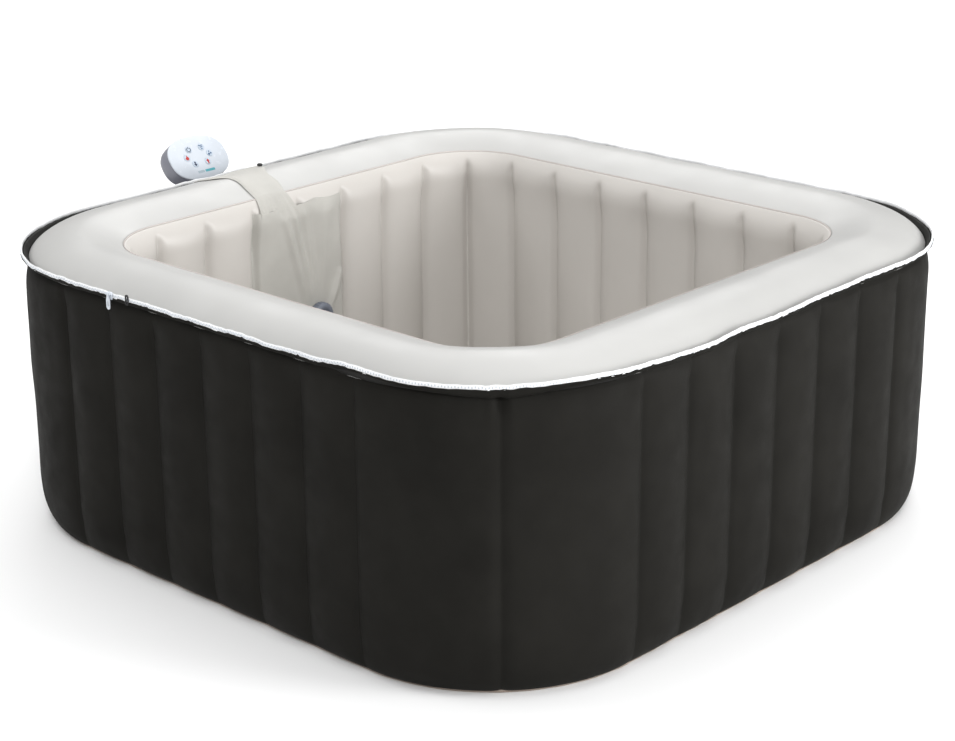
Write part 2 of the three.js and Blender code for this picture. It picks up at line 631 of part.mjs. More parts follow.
function addPump() {
  const { y, z } = SUCTION;
  const { face, back, radius, wall, outlet, outletBore, outletTop } = PUMP;
  const middle = (face + back) / 2;
  const eye = 15;
  const shaftHole = 8;
  const outside = [[shaftHole, back], [radius, back], [radius, face]];
  const inside = [[eye, face], [eye, face - wall], [radius - wall, face - wall],
    [radius - wall, back + wall], [shaftHole, back + wall], [shaftHole, back]];
  const drum = turnedAlongX([...outside, ...inside], y, z, 20);
  const spout = turned(tubeProfile(outletBore, outlet, z + radius - wall, outletTop))
    .translate(middle, y, 0);
  const spoutBore = turned(rodProfile(outletBore, z + 45, outletTop + 10)).translate(middle, y, 0);
  add('pump_housing', 'motor', cut(join(drum, spout), [spoutBore]));

  const disc = back + 12;
  const hub = turnedAlongX(rodProfile(46, disc, disc + 3), y, z, 20);
  const blades = spokes(6, block(22, 30, 2.5, disc + 13, 28, 0), SUCTION);
  const shaft = turnedAlongX(rodProfile(6, back - 40, disc + 1), y, z);
  add('pump_impeller', 'fitting', join(hub, shaft, ...blades));

  const motorRadius = 44;
  const motorStart = back - 100;
  const motorEnd = back - GAP;
  const shaftEnd = back - 42;
  const motor = [[0, motorStart], [motorRadius, motorStart], [motorRadius, motorEnd], [6.5, motorEnd],
    [6.5, shaftEnd], [0, shaftEnd]];
  const mountTop = z - 36.3;
  const mount = block(70, 60, mountTop - UNIT_FLOOR, back - 50, y, (mountTop + UNIT_FLOOR) / 2);
  add('pump_motor', 'motor', join(turnedAlongX(motor, y, z), mount));
  const suctionPipe = tubeProfile(outletBore, outlet, face + GAP, PIPE_END_X);
  add('suction_pipe', 'fitting', turnedAlongX(suctionPipe, y, z));
}

// Water goes up from the pump, over an arch and down through the heater to the return tube.
function addHeater() {
  const { x, radius, bore, bottom, top } = HEATER;
  const archRadius = (RETURN.y - SUCTION.y) / 2;
  const archMiddle = (RETURN.y + SUCTION.y) / 2;
  const archBase = top + 6;
  const pumpTop = PUMP.outletTop + GAP;
  const arch = [[x, SUCTION.y, pumpTop], [x, SUCTION.y, 340], [x, SUCTION.y, archBase]];
  for (const degrees of [150, 120, 90, 60, 30]) {
    const angle = THREE.MathUtils.degToRad(degrees);
    arch.push([x, archMiddle + archRadius * Math.cos(angle), archBase + archRadius * Math.sin(angle)]);
  }
  arch.push([x, RETURN.y, archBase], [x, RETURN.y, top + GAP]);
  add('transfer_pipe', 'fitting', pipeAlong(arch, PIPE_OUTER, PIPE_BORE, 16));
  add('heater_tube', 'steel', turned(tubeProfile(bore, radius, bottom, top)).translate(x, RETURN.y, 0));

  const { y, z } = RETURN;
  const outlet = [[x, y, bottom - GAP], [x, y, bottom - 8], [x + 8, y, z + 8], [x + 24, y, z],
    [PUMP.face + 30, y, z], [PIPE_END_X, y, z]];
  add('return_pipe', 'fitting', pipeAlong(outlet, PIPE_OUTER, PIPE_BORE, 12));
}

function addBlower() {
  const { y, z } = AIR;
  const { face, back, radius, wall } = BLOWER;
  const inlet = 15;
  const outlet = 12;
  const outside = [[inlet, back], [radius, back], [radius, face]];
  const inside = [[outlet, face], [outlet, face - wall], [radius - wall, face - wall],
    [radius - wall, back + wall], [inlet, back + wall], [inlet, back]];
  const footTop = z - 47;
  const foot = block(40, 30, footTop - UNIT_FLOOR, (face + back) / 2, y, (footTop + UNIT_FLOOR) / 2);
  add('blower_housing', 'dark', join(turnedAlongX([...outside, ...inside], y, z, 20), foot));

  const discFace = back + 23;
  const disc = turnedAlongX(rodProfile(38, discFace - 3, discFace), y, z, 20);
  const blades = spokes(8, block(24, 18, 2, discFace + 9, 28, 0), AIR);
  add('blower_fan', 'fitting', join(disc, ...blades));
  addCheckValve();
}

// A flap on a knuckle stops water from running back into the blower.
function addCheckValve() {
  const { y, z } = AIR;
  const start = BLOWER.face + GAP;
  const end = -905;
  const seat = start + 5;
  const port = 8;
  const bore = 15;
  const body = [[port, start], [19, start], [19, end], [10, end], [bore, end - 8], [bore, seat],
    [port, seat], [port, start]];
  add('check_valve_body', 'fitting', turnedAlongX(body, y, z));
  const disk = turnedAlongX(rodProfile(10.5, seat + GAP, seat + 2.3), y, z - 1.5);
  const knuckle = new THREE.CylinderGeometry(1.5, 1.5, 8, 10).translate(seat + 1.9, y, z + 10.3);
  add('check_valve_flap', 'rubber', join(disk, knuckle));
  add('air_pipe', 'fitting', turnedAlongX(tubeProfile(9, 12, end + GAP, PIPE_END_X), y, z));
}

// ---- Control head on its neck ----
function addControlHead() {
  const head = new THREE.Group();
  head.position.set(HEAD.x, 0, HEAD.z);
  head.rotation.y = HEAD.tilt;
  tub.add(head);

  const oval = (inset) => {
    const halfHeight = HEAD.height / 2 - inset;
    return roundedRectangle(halfHeight, HEAD.length / 2 - inset, halfHeight - 1);
  };
  const shellFront = -FACE_PLATE - GAP;
  const shellWall = 3;
  const outside = extruded(oval(0), HEAD.depth + shellFront, HEAD_STEPS).translate(0, 0, -HEAD.depth);
  const pocket = extruded(oval(shellWall), HEAD.depth, HEAD_STEPS).translate(0, 0, shellWall - HEAD.depth);
  const cableHole = turned(rodProfile(9, -HEAD.depth - 5, -HEAD.depth + 10));
  add('head_shell', 'shell', cut(outside, [pocket, cableHole]), head);

  const hole = turned(rodProfile(BUTTON_R + 0.4, -10, 10), 12);
  const holes = Object.values(BUTTONS).map(([up, along]) => hole.clone().translate(-up, along, 0));
  const plate = extruded(oval(0), FACE_PLATE, HEAD_STEPS).translate(0, 0, -FACE_PLATE);
  add('head_face', 'face', cut(plate, holes), head);

  const boardTop = -12;
  const board = 1.6;
  add('circuit_board', 'board', extruded(oval(8), board).translate(0, 0, boardTop - board), head);

  const stemEnd = boardTop + 2.4;
  const capBack = -FACE_PLATE - 2;
  const cap = [[0, stemEnd], [3, stemEnd], [3, capBack], [BUTTON_R, capBack], [BUTTON_R, 0.6],
    [BUTTON_R - 0.6, BUTTON_RISE], [0, BUTTON_RISE]];
  for (const [name, [up, along]] of Object.entries(BUTTONS)) {
    add(`button_${name}`, 'button', turned(cap, 12).translate(-up, along, 0), head);
  }

  const back = new THREE.Vector3(0, 0, -HEAD.depth - 1).applyEuler(head.rotation).add(head.position);
  const normal = new THREE.Vector3(0, 0, 1).applyEuler(head.rotation);
  const before = back.clone().addScaledVector(normal, -20);
  const route = [[NECK_X, 0, UNIT.top + 0.5], [NECK_X, 0, UNIT.top + 30], before.toArray(), back.toArray()];
  add('head_neck', 'shell', pipeAlong(route, 15, 11, 12));
}

addFloor();
addWalls();
addWebs();
addBubbleDuct();
addZipperTape();
addSlider();
addEndLoop();
addHoseCover();
addPressStud();
addFittings();
addUnitCase();
addGland();
addPump();
addHeater();
addBlower();
addControlHead();

export default tub;
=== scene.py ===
"""Looks of the inflatable hot tub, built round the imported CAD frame. Metres, +Z up."""

import json
import math

import bmesh
import bpy
import numpy as np
from mathutils import Matrix, Vector


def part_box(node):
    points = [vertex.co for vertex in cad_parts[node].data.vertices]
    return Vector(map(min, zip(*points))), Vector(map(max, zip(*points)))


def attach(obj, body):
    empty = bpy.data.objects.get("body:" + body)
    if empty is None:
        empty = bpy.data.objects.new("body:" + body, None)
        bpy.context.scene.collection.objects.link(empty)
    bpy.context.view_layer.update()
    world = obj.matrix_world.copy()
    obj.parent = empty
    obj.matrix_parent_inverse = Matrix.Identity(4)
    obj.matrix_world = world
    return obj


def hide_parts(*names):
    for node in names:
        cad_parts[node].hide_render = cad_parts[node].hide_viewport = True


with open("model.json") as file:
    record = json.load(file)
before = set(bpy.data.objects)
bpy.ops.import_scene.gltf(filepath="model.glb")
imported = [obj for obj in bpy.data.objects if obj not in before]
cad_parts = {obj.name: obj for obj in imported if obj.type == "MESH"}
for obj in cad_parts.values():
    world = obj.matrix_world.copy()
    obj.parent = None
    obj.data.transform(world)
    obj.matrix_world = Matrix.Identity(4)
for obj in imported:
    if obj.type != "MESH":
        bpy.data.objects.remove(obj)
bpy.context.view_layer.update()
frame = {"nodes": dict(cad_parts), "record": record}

# ---- Driving dimensions, in metres ----
PITCH = 0.142  # spacing of the vertical welds along a side
CORNER = 3 * PITCH  # distance of each corner arc's centre from both axes
CHANNEL_BULGE = 0.018  # how far a channel stands out from its welds
DIAGONAL_DENT = 0.004  # how deep the seam on a corner's diagonal lies
CORNER_DROP = 0.008  # how much flatter the wide corner panels are than the channels
MM = 0.001

rim_low, rim_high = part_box("rim_skin")
duct_low, duct_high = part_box("bubble_duct")
floor_low, floor_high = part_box("floor_sheet")

# An _R value is a reach: the distance outward from a corner's centre, or from the line between two centres.
CREST_R = 0.392  # the outer wall's widest reach
INNER_CREST_R = 0.142  # the crests of the inner wall's channels
FLANGE_R = 0.3905  # outer face of the zipper
LIP_R = 0.3505  # edge of the ground sheet
RIM_MIDDLE_R = 0.267  # crown of the rim
RIM_OUT_R = rim_high.x - CORNER
RIM_HALF = RIM_OUT_R - RIM_MIDDLE_R
RIM_FOOT_Z = rim_low.z
RIM_TOP_Z = rim_high.z
WELD_R, WELD_Z = 0.170, 0.620  # the weld line between the rim and the inner wall
TUCK_Z = 0.120  # below this the jacket rounds in to its foot
TUCK = 0.056  # how far it rounds in
NECK_Z = 0.6085  # the crease under the zipper flange
JACKET_TOP_Z = 0.603
SHOULDER_Z = 0.550  # above this the inner wall leans out to the weld line
WALL_FOOT_Z = 0.0146
ZIPPER_Z = 0.6235  # middle of the zipper
PULL_Z = 0.629  # the pull's pivot
SKIN = 0.0018  # thickness of a vinyl skin


# ---- Small helpers ----
def smoothstep(low, high, value):
    t = np.clip((value - low) / (high - low), 0, 1)
    return t * t * (3 - 2 * t)


def put(name, mesh, *materials):
    """Makes an object of the mesh with its materials."""
    piece = bpy.data.objects.new(name, mesh)
    bpy.context.scene.collection.objects.link(piece)
    for material in materials:
        mesh.materials.append(material)
    return piece


def settle(piece, body, nodes):
    """Rides the piece on its body, in place of the CAD nodes that it stands for."""
    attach(piece, body)
    if nodes:
        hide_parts(*nodes)
    return piece


def grid_mesh(name, points, wrap_rows=False, wrap_columns=False):
    """A smooth mesh of a (rows, columns, 3) grid, with UVs in metres along and across it."""
    rows, columns = points.shape[:2]
    row_pairs = [(r, (r + 1) % rows) for r in range(rows if wrap_rows else rows - 1)]
    column_pairs = [(c, (c + 1) % columns) for c in range(columns if wrap_columns else columns - 1)]
    faces = [(a * columns + c, a * columns + d, b * columns + d, b * columns + c)
             for a, b in row_pairs for c, d in column_pairs]
    mesh = bpy.data.meshes.new(name)
    mesh.from_pydata(points.reshape(-1, 3).tolist(), [], faces)

    middle = rows // 2
    along = np.linalg.norm(np.diff(points[middle], axis=0, append=points[middle][:1]), axis=1)
    across = np.linalg.norm(np.diff(points[:, 0], axis=0, append=points[:1, 0]), axis=1)
    u = np.concatenate([[0], np.cumsum(along)])
    v = np.concatenate([[0], np.cumsum(across)])
    layer = mesh.uv_layers.new(name="metres")
    corners = [((u[c], v[a]), (u[c + 1], v[a]), (u[c + 1], v[a + 1]), (u[c], v[a + 1]))
               for a, _ in row_pairs for c, _ in column_pairs]
    layer.data.foreach_set("uv", np.array(corners).ravel())
    mesh.shade_smooth()
    return mesh


def ring_mesh(name, points):
    """A grid mesh closed both ways, like a tyre."""
    return grid_mesh(name, points, wrap_rows=True, wrap_columns=True)


def taken_from(made, name):
    """The edited mesh as a mesh of that name."""
    mesh = bpy.data.meshes.new(name)
    made.to_mesh(mesh)
    made.free()
    return mesh


def closed_by(mesh, points, rows):
    """Adds flat ends to a grid mesh whose columns wrap round, on the rows given."""
    columns = points.shape[1]
    made = bmesh.new()
    made.from_mesh(mesh)
    made.verts.ensure_lookup_table()
    for row, order in rows:
        ring = [made.verts[row * columns + c] for c in range(columns)]
        made.faces.new(ring if order > 0 else ring[::-1]).smooth = False
    made.to_mesh(mesh)
    made.free()


def turned(name, profile, origin, axis="X", segments=64, sharp=math.radians(35)):
    """A turned mesh about an axis through origin. The profile is (radius, distance along the axis)."""
    angles = np.linspace(0, 2 * math.pi, segments, endpoint=False)
    rings = np.array([[(r * math.cos(a), r * math.sin(a), d) for a in angles] for r, d in profile])
    if axis == "X":
        rings = rings[..., [2, 0, 1]]
    mesh = grid_mesh(name, rings, wrap_columns=True)
    mesh.transform(Matrix.Translation(origin))
    finish_hard(mesh, sharp)
    return mesh


def finish_hard(mesh, sharp=math.radians(35)):
    """Merges doubled points, points the faces outward and keeps edges over the angle sharp."""
    made = bmesh.new()
    made.from_mesh(mesh)
    bmesh.ops.remove_doubles(made, verts=made.verts, dist=1e-6)
    bmesh.ops.recalc_face_normals(made, faces=made.faces)
    made.to_mesh(mesh)
    made.free()
    mesh.shade_smooth()
    mesh.set_sharp_from_angle(angle=sharp)


def tube_profile(bore, radius, start, end):
    return [(bore, start), (radius, start), (radius, end), (bore, end), (bore, start)]


def rounded_profile(outline, radius=0.8 * MM, steps=3):
    """Rounds the inner corners of a profile of (radius, distance) points."""
    made = [outline[0]]
    for before, here, after in zip(outline, outline[1:], outline[2:]):
        p, q, r = (np.array(v, float) for v in (before, here, after))
        reach = min(radius, np.linalg.norm(p - q) / 2.1, np.linalg.norm(r - q) / 2.1)
        start = q + (p - q) / max(np.linalg.norm(p - q), 1e-9) * reach
        end = q + (r - q) / max(np.linalg.norm(r - q), 1e-9) * reach
        for k in range(steps + 1):
            t = k / steps
            made.append(tuple((1 - t) ** 2 * start + 2 * t * (1 - t) * q + t * t * end))
    return [*made, outline[-1]]


def bevelled_copy(name, node, width, material, body, segments=3):
    """A copy of a CAD node with its edges rounded."""
    source = frame["nodes"][node].data.copy()
    source.materials.clear()
    finish_hard(source, math.radians(40))
    piece = put(name, source, material)
    bevel = piece.modifiers.new("edges", "BEVEL")
    bevel.width = width
    bevel.segments = segments
    bevel.limit_method = "ANGLE"
    bevel.angle_limit = math.radians(40)
    bevel.harden_normals = False
    return settle(piece, body, [node])


# ---- Materials ----
class Look:
    """A Principled material whose nodes are added one by one."""

    def __init__(self, name, roughness=0.5, metallic=0.0, coat=0.0, sheen=0.0, specular=0.5):
        self.material = bpy.data.materials.new(name)
        self.material.use_nodes = True
        self.tree = self.material.node_tree
        self.shader = self.tree.nodes["Principled BSDF"]
        self.shader.inputs["Roughness"].default_value = roughness
        self.shader.inputs["Metallic"].default_value = metallic
        self.shader.inputs["Coat Weight"].default_value = coat
        self.shader.inputs["Coat Roughness"].default_value = 0.3
        self.shader.inputs["Sheen Weight"].default_value = sheen
        self.shader.inputs["Sheen Roughness"].default_value = 0.5
        self.shader.inputs["Specular IOR Level"].default_value = specular
        self.normal = None
        self.object_place = self.node("ShaderNodeTexCoord").outputs["Object"]
        self.metres = self.node("ShaderNodeUVMap", uv_map="metres").outputs["UV"]

    def node(self, kind, **settings):
        made = self.tree.nodes.new(kind)
        for key, value in settings.items():
            setattr(made, key, value)
        return made

    def link(self, source, target):
        self.tree.links.new(source, target)

    def noise(self, scale, detail=4.0, roughness=0.55, place=None, stretch=(1, 1, 1)):
        mapping = self.node("ShaderNodeMapping")
        mapping.inputs["Scale"].default_value = stretch
        self.link(place or self.object_place, mapping.inputs["Vector"])
        made = self.node("ShaderNodeTexNoise")
        made.inputs["Scale"].default_value = scale
        made.inputs["Detail"].default_value = detail
        made.inputs["Roughness"].default_value = roughness
        self.link(mapping.outputs["Vector"], made.inputs["Vector"])
        return made.outputs["Fac"]

    def ramp(self, source, *stops):
        made = self.node("ShaderNodeValToRGB")
        elements = made.color_ramp.elements
        while len(elements) < len(stops):
            elements.new(0.5)
        for element, (position, colour) in zip(elements, stops):
            element.position = position
            element.color = (*colour, 1)
        self.link(source, made.inputs["Fac"])
        return made.outputs["Color"]

    def mix(self, factor, first, second, blend="MIX"):
        made = self.node("ShaderNodeMix", data_type="RGBA", blend_type=blend)
        for socket, value in ((made.inputs[0], factor), (made.inputs[6], first), (made.inputs[7], second)):
            if hasattr(value, "is_output"):
                self.link(value, socket)
            elif isinstance(value, (int, float)):
                socket.default_value = value
            else:
                socket.default_value = (*value, 1)
        return made.outputs[2]

    def spread(self, source, low, high):
        made = self.node("ShaderNodeMapRange")
        made.inputs["From Min"].default_value = 0.3
        made.inputs["From Max"].default_value = 0.7
        made.inputs["To Min"].default_value = low
        made.inputs["To Max"].default_value = high
        self.link(source, made.inputs["Value"])
        return made.outputs["Result"]

    def colour(self, source):
        self.link(source, self.shader.inputs["Base Color"])

    def rough(self, source):
        self.link(source, self.shader.inputs["Roughness"])

    def bump(self, height, distance, strength=1.0):
        made = self.node("ShaderNodeBump")
        made.inputs["Distance"].default_value = distance
        made.inputs["Strength"].default_value = strength
        self.link(height, made.inputs["Height"])
        if self.normal:
            self.link(self.normal, made.inputs["Normal"])
        self.normal = made.outputs["Normal"]
        self.link(self.normal, self.shader.inputs["Normal"])


def shade(colour, factor):
    return tuple(min(1, c * factor) for c in colour)


def weave(look, thread):
    """Height of a plain weave with that thread spacing, from the UVs in metres."""
    waves = []
    for direction in ("X", "Y"):
        wave = look.node("ShaderNodeTexWave", wave_type="BANDS", bands_direction=direction)
        wave.inputs["Scale"].default_value = 0.314 / thread
        wave.inputs["Distortion"].default_value = 0.3
        look.link(look.metres, wave.inputs["Vector"])
        waves.append(wave.outputs["Fac"])
    both = look.node("ShaderNodeMath", operation="MULTIPLY")
    look.link(waves[0], both.inputs[0])
    look.link(waves[1], both.inputs[1])
    return both.outputs["Value"]


def cloudy(look, colour, spread=0.06, scale=3.0):
    """Colour that drifts slightly over the surface."""
    darker, lighter = shade(colour, 1 - spread), shade(colour, 1 + spread)
    look.colour(look.ramp(look.noise(scale), (0.3, darker), (0.7, lighter)))


def vinyl(name, colour, roughness=0.42):
    look = Look(name, roughness=roughness, coat=0.06)
    cloudy(look, colour, 0.045, 2.4)
    look.rough(look.spread(look.noise(9, 3), roughness - 0.05, roughness + 0.07))
    look.bump(look.noise(14, 2), 1.2 * MM, 0.35)
    look.bump(look.noise(1500, 2, 0.7), 0.05 * MM, 0.5)
    return look


def coated_cloth(name, colour, roughness=0.6, grain=0.25, sheen=0.08, specular=0.25):
    look = Look(name, roughness=roughness, sheen=sheen, specular=specular)
    cloudy(look, colour, 0.16, 6)
    look.rough(look.spread(look.noise(22, 3), roughness - 0.06, roughness + 0.08))
    look.bump(look.noise(35, 4, 0.6), 1.0 * MM, 0.25)
    look.bump(look.noise(900, 3, 0.7), grain * MM, 0.6)
    return look


def moulded(name, colour, roughness=0.42, grain=0.05):
    look = Look(name, roughness=roughness)
    cloudy(look, colour, 0.05, 12)
    look.rough(look.spread(look.noise(60, 3), roughness - 0.05, roughness + 0.08))
    look.bump(look.noise(1400, 2, 0.6), grain * MM, 0.5)
    return look


def metal(name, colour, roughness=0.3, metallic=1.0):
    look = Look(name, roughness=roughness, metallic=metallic)
    cloudy(look, colour, 0.06, 20)
    look.rough(look.spread(look.noise(80, 3, stretch=(1, 1, 12)), roughness - 0.08, roughness + 0.12))
    look.bump(look.noise(600, 2, stretch=(1, 1, 10)), 0.03 * MM, 0.4)
    return look


JACKET_COLOUR = (0.0122, 0.0116, 0.0101)
RIM_COLOUR = (0.432, 0.430, 0.419)
LINER_COLOUR = (0.560, 0.536, 0.507)
COVER_COLOUR = (0.460, 0.450, 0.418)

JACKET = coated_cloth("jacket_cloth", JACKET_COLOUR, 0.66, 0.18, 0.0, 0.06).material
# The jacket cloth at 0.7 of its colour: painted shade for the flap under the zipper's overhang.
SHADED_HEM = coated_cloth("hem_cloth_painted_shade", shade(JACKET_COLOUR, 0.7), 0.66, 0.2, 0.0).material
RIM = vinyl("rim_vinyl", RIM_COLOUR, 0.4).material
LINER = vinyl("liner_vinyl", LINER_COLOUR, 0.44).material
FLOOR = vinyl("floor_vinyl", (0.30, 0.28, 0.25), 0.46).material
GROUND = vinyl("ground_sheet_vinyl", (0.30, 0.245, 0.205), 0.55).material
WEB = vinyl("web_vinyl", (0.62, 0.60, 0.55), 0.5).material
WELD = vinyl("weld_line_vinyl", (0.58, 0.525, 0.50), 0.5).material
FOAM = coated_cloth("foam_pad", (0.5, 0.52, 0.54), 0.9, 0.3, 0.0).material
DARK = moulded("dark_plastic", (0.022, 0.022, 0.025), 0.42, 0.08).material
FITTING = moulded("blue_grey_plastic", (0.135, 0.15, 0.185), 0.36, 0.04).material
SHELL = moulded("grey_plastic", (0.215, 0.220, 0.256), 0.4, 0.07).material
FACE = moulded("white_face_plastic", (0.57, 0.61, 0.665), 0.22, 0.01).material
BUTTON = moulded("button_plastic", (0.50, 0.57, 0.65), 0.28, 0.015).material
BOARD = moulded("board_lacquer", (0.012, 0.13, 0.05), 0.35, 0.03).material
STEEL = metal("brushed_steel", (0.6, 0.61, 0.63), 0.3).material
MOTOR = metal("painted_motor", (0.05, 0.055, 0.06), 0.4, 0.5).material
RUBBER = moulded("black_rubber", (0.012, 0.012, 0.013), 0.7, 0.12).material


def woven(name, colour, thread, roughness=0.7, sheen=0.3):
    look = Look(name, roughness=roughness, sheen=sheen)
    cloudy(look, colour, 0.05, 14)
    look.bump(weave(look, thread), 0.25 * MM, 0.6)
    look.bump(look.noise(700, 2), 0.06 * MM, 0.4)
    return look.material


ZIPPER = woven("zipper_tape_weave", (0.82, 0.83, 0.84), 0.7 * MM)
COVER = woven("cover_cloth_weave", COVER_COLOUR, 0.8 * MM, 0.58, 0.15)
FILTER = woven("filter_felt", (0.8, 0.82, 0.83), 1.2 * MM, 0.9, 0.3)


def plain_mark(name, colour):
    return moulded(name, colour, 0.4, 0.01).material


INK_DARK = plain_mark("mark_dark", (0.03, 0.04, 0.08))
INK_RED = plain_mark("mark_red", (0.45, 0.03, 0.025))
INK_BLUE = plain_mark("mark_blue", (0.05, 0.10, 0.20))
INK_TEAL = plain_mark("mark_teal", (0.07, 0.33, 0.38))
INK_GREY = plain_mark("mark_grey", (0.33, 0.40, 0.44))


# ---- The way round the tub ----
MEASURED_R = 0.27  # where lengths along the wall are measured


class Round:
    """Places round the rounded square: its straight sides' channels, then each corner's two panels."""

    def __init__(self, straight_steps=20, corner_steps=32):
        rows = []
        for quarter in range(4):
            turn = quarter * math.pi / 2
            cos, sin = math.cos(turn), math.sin(turn)
            for channel in range(6):
                for k in range(straight_steps):
                    t = self.eased(k / straight_steps)
                    y = (channel - 3 + t) * PITCH
                    gap = min(t, 1 - t) * PITCH
                    base = (CORNER * cos - y * sin, CORNER * sin + y * cos)
                    rows.append((*base, cos, sin, gap, 1.0, 0.0))
            for panel in range(2):
                for k in range(corner_steps):
                    t = self.eased(k / corner_steps)
                    angle = turn + (panel + t) * math.pi / 4
                    base = (CORNER * (cos - sin), CORNER * (sin + cos))
                    shares = (t, 1 - t) if panel == 0 else (1 - t, t)
                    rows.append((*base, math.cos(angle), math.sin(angle), *shares, 1.0))
        table = np.array(rows)
        self.base, self.normal = table[:, 0:2], table[:, 2:4]
        self.to_weld, self.to_diagonal, self.corner = table[:, 4], table[:, 5], table[:, 6]
        middle = self.base + MEASURED_R * self.normal
        steps = np.linalg.norm(np.roll(middle, -1, 0) - middle, axis=1)
        self.along = np.concatenate([[0], np.cumsum(steps)[:-1]])
        self.length = steps.sum()
        bend = np.where(self.corner > 0, 1 - np.abs(self.normal[:, 0] ** 2 - self.normal[:, 1] ** 2), 0)
        self.cornerness = bend  # 0 along the sides, 1 on the diagonals

    @staticmethod
    def eased(t):
        return t - 0.65 * math.sin(2 * math.pi * t) / (2 * math.pi)

    def weld_gap(self, offset):
        """Distance along the wall to the nearest deep weld, for a wall that far from the corner centres."""
        arc = self.to_weld * offset * math.pi / 4
        return np.where(self.corner > 0, arc, self.to_weld)

    def diagonal_gap(self, offset):
        arc = self.to_diagonal * offset * math.pi / 4
        return np.where(self.corner > 0, arc, 1.0)

    def place(self, offsets, heights):
        """Points at those offsets from the corner centres, one row of points for each row of offsets."""
        shape = np.broadcast_shapes(np.shape(offsets), np.shape(heights))
        offsets = np.broadcast_to(np.asarray(offsets, float), shape)
        heights = np.broadcast_to(heights, offsets.shape)
        flat = self.base[None] + offsets[..., None] * self.normal[None]
        return np.concatenate([flat, heights[..., None]], axis=-1)

    def ripple(self, heights, wavelength, seed, upright=1.0):
        """Smooth random waves round the tub, about 1 high, over rows of heights."""
        dice = np.random.default_rng(seed)
        around = 2 * math.pi * self.along[None] / self.length
        total = 0
        for _ in range(9):
            turns = round(self.length / wavelength * dice.uniform(0.6, 1.5))
            rate = dice.uniform(-1, 1) * 2 * math.pi / wavelength * upright
            phase = dice.uniform(0, 2 * math.pi)
            total = total + np.cos(turns * around + rate * heights + phase)
        return total / 4.2


ROUND = Round()


def column(values):
    return np.asarray(values, float)[:, None]


def all_round(values):
    """A row of equal values round the tub for each value."""
    return column(values) * np.ones((1, len(ROUND.along)))


# ---- Outer jacket ----
# Places where the zipper flange lies higher or lower than elsewhere: middle, rise and reach.
FLANGE_BENDS = (((0.445, -0.8165), 0.0085, 0.080), ((0.785, -0.580), 0.0045, 0.090),
                ((0.8165, -0.270), -0.0100, 0.120), ((0.8165, -0.020), -0.0070, 0.150))


def flange_lift():
    """Slow rise and fall of the zipper flange and of the crease under it."""
    place = ROUND.base + FLANGE_R * ROUND.normal
    return sum(rise * np.exp(-np.sum((place - np.array(middle)) ** 2, axis=1) / reach ** 2)
               for middle, rise, reach in FLANGE_BENDS)


def flange_wave():
    """All of the flange's rise and fall."""
    channel = np.where(ROUND.corner > 0, 0, np.cos(2 * math.pi * ROUND.along / PITCH))
    quick = 0.0010 * ROUND.ripple(0, 0.16, 11)[0] + 0.0007 * ROUND.ripple(0, 0.045, 12)[0]
    return flange_lift() + quick + 0.0006 * channel


def outer_reach(heights):
    """Reach of the channel crests at each height."""
    low = np.clip((TUCK_Z - heights) / TUCK_Z, 0, 1)
    high = np.clip((heights - 0.540) / 0.063, 0, 1)
    neck = 0.014 + 0.008 * ROUND.cornerness
    return CREST_R - TUCK * (1 - np.sqrt(1 - low ** 2)) - neck * (1 - np.sqrt(1 - high ** 2))


def jacket_surface(heights, neck_z):
    """Offsets of the jacket's outside for rows of heights."""
    gap, diagonal = ROUND.weld_gap(CREST_R), ROUND.diagonal_gap(CREST_R)
    pillow = np.clip(1 - gap / (PITCH / 2), 0, 1) ** 2.1
    fade = smoothstep(-0.015, 0.085, heights) * (1 - 0.62 * smoothstep(neck_z - 0.055, neck_z, heights))
    crease = 0.0012 * np.exp(-(gap / 0.007) ** 2) * fade
    dent = DIAGONAL_DENT * np.exp(-(diagonal / 0.014) ** 2) + 0.0016 * np.exp(-(diagonal / 0.004) ** 2)
    flatter = CORNER_DROP * smoothstep(0, 0.06, gap) * (ROUND.corner > 0) * smoothstep(0.0, 0.10, heights)
    notch = 0.006 * np.exp(-(diagonal / 0.010) ** 2) * smoothstep(neck_z - 0.05, neck_z, heights)
    puckered = np.exp(-np.clip(neck_z - heights, 0, 1) / 0.028) * (0.35 + 0.65 * ROUND.cornerness)
    pucker = 0.0017 * puckered * ROUND.ripple(heights, 0.021, 3, 0.15)
    slack = 0.0011 * ROUND.ripple(heights, 0.24, 5, 0.8) + 0.00045 * ROUND.ripple(heights, 0.07, 6, 0.5)
    held = 1 - 0.85 * np.exp(-(np.minimum(gap, diagonal) / 0.014) ** 2)
    sunk = CHANNEL_BULGE * pillow * fade + crease + dent + notch + flatter
    return outer_reach(heights) - sunk + pucker + slack * smoothstep(0.0, 0.08, heights) * held


def hem_rows(start_r, start_z):
    """The jacket's top edge: out from the crease and up to the zipper, with small ragged waves."""
    ragged = 0.0011 * ROUND.ripple(0, 0.026, 19)[0] + 0.0008 * ROUND.ripple(0, 0.012, 20)[0]
    tip_r = FLANGE_R + 0.0006 + 0.0006 * ROUND.ripple(0, 0.05, 9)[0]
    tip_z = 0.6196 + flange_wave() + ragged
    share = np.linspace(0.10, 1, 9)
    hem_r = start_r[None] + (tip_r - start_r)[None] * column(share ** 0.5)
    hem_z = start_z[None] + (tip_z - start_z)[None] * column(share ** 1.3)
    return hem_r + 0.0006 * ROUND.ripple(hem_z, 0.016, 10, 0.2), hem_z


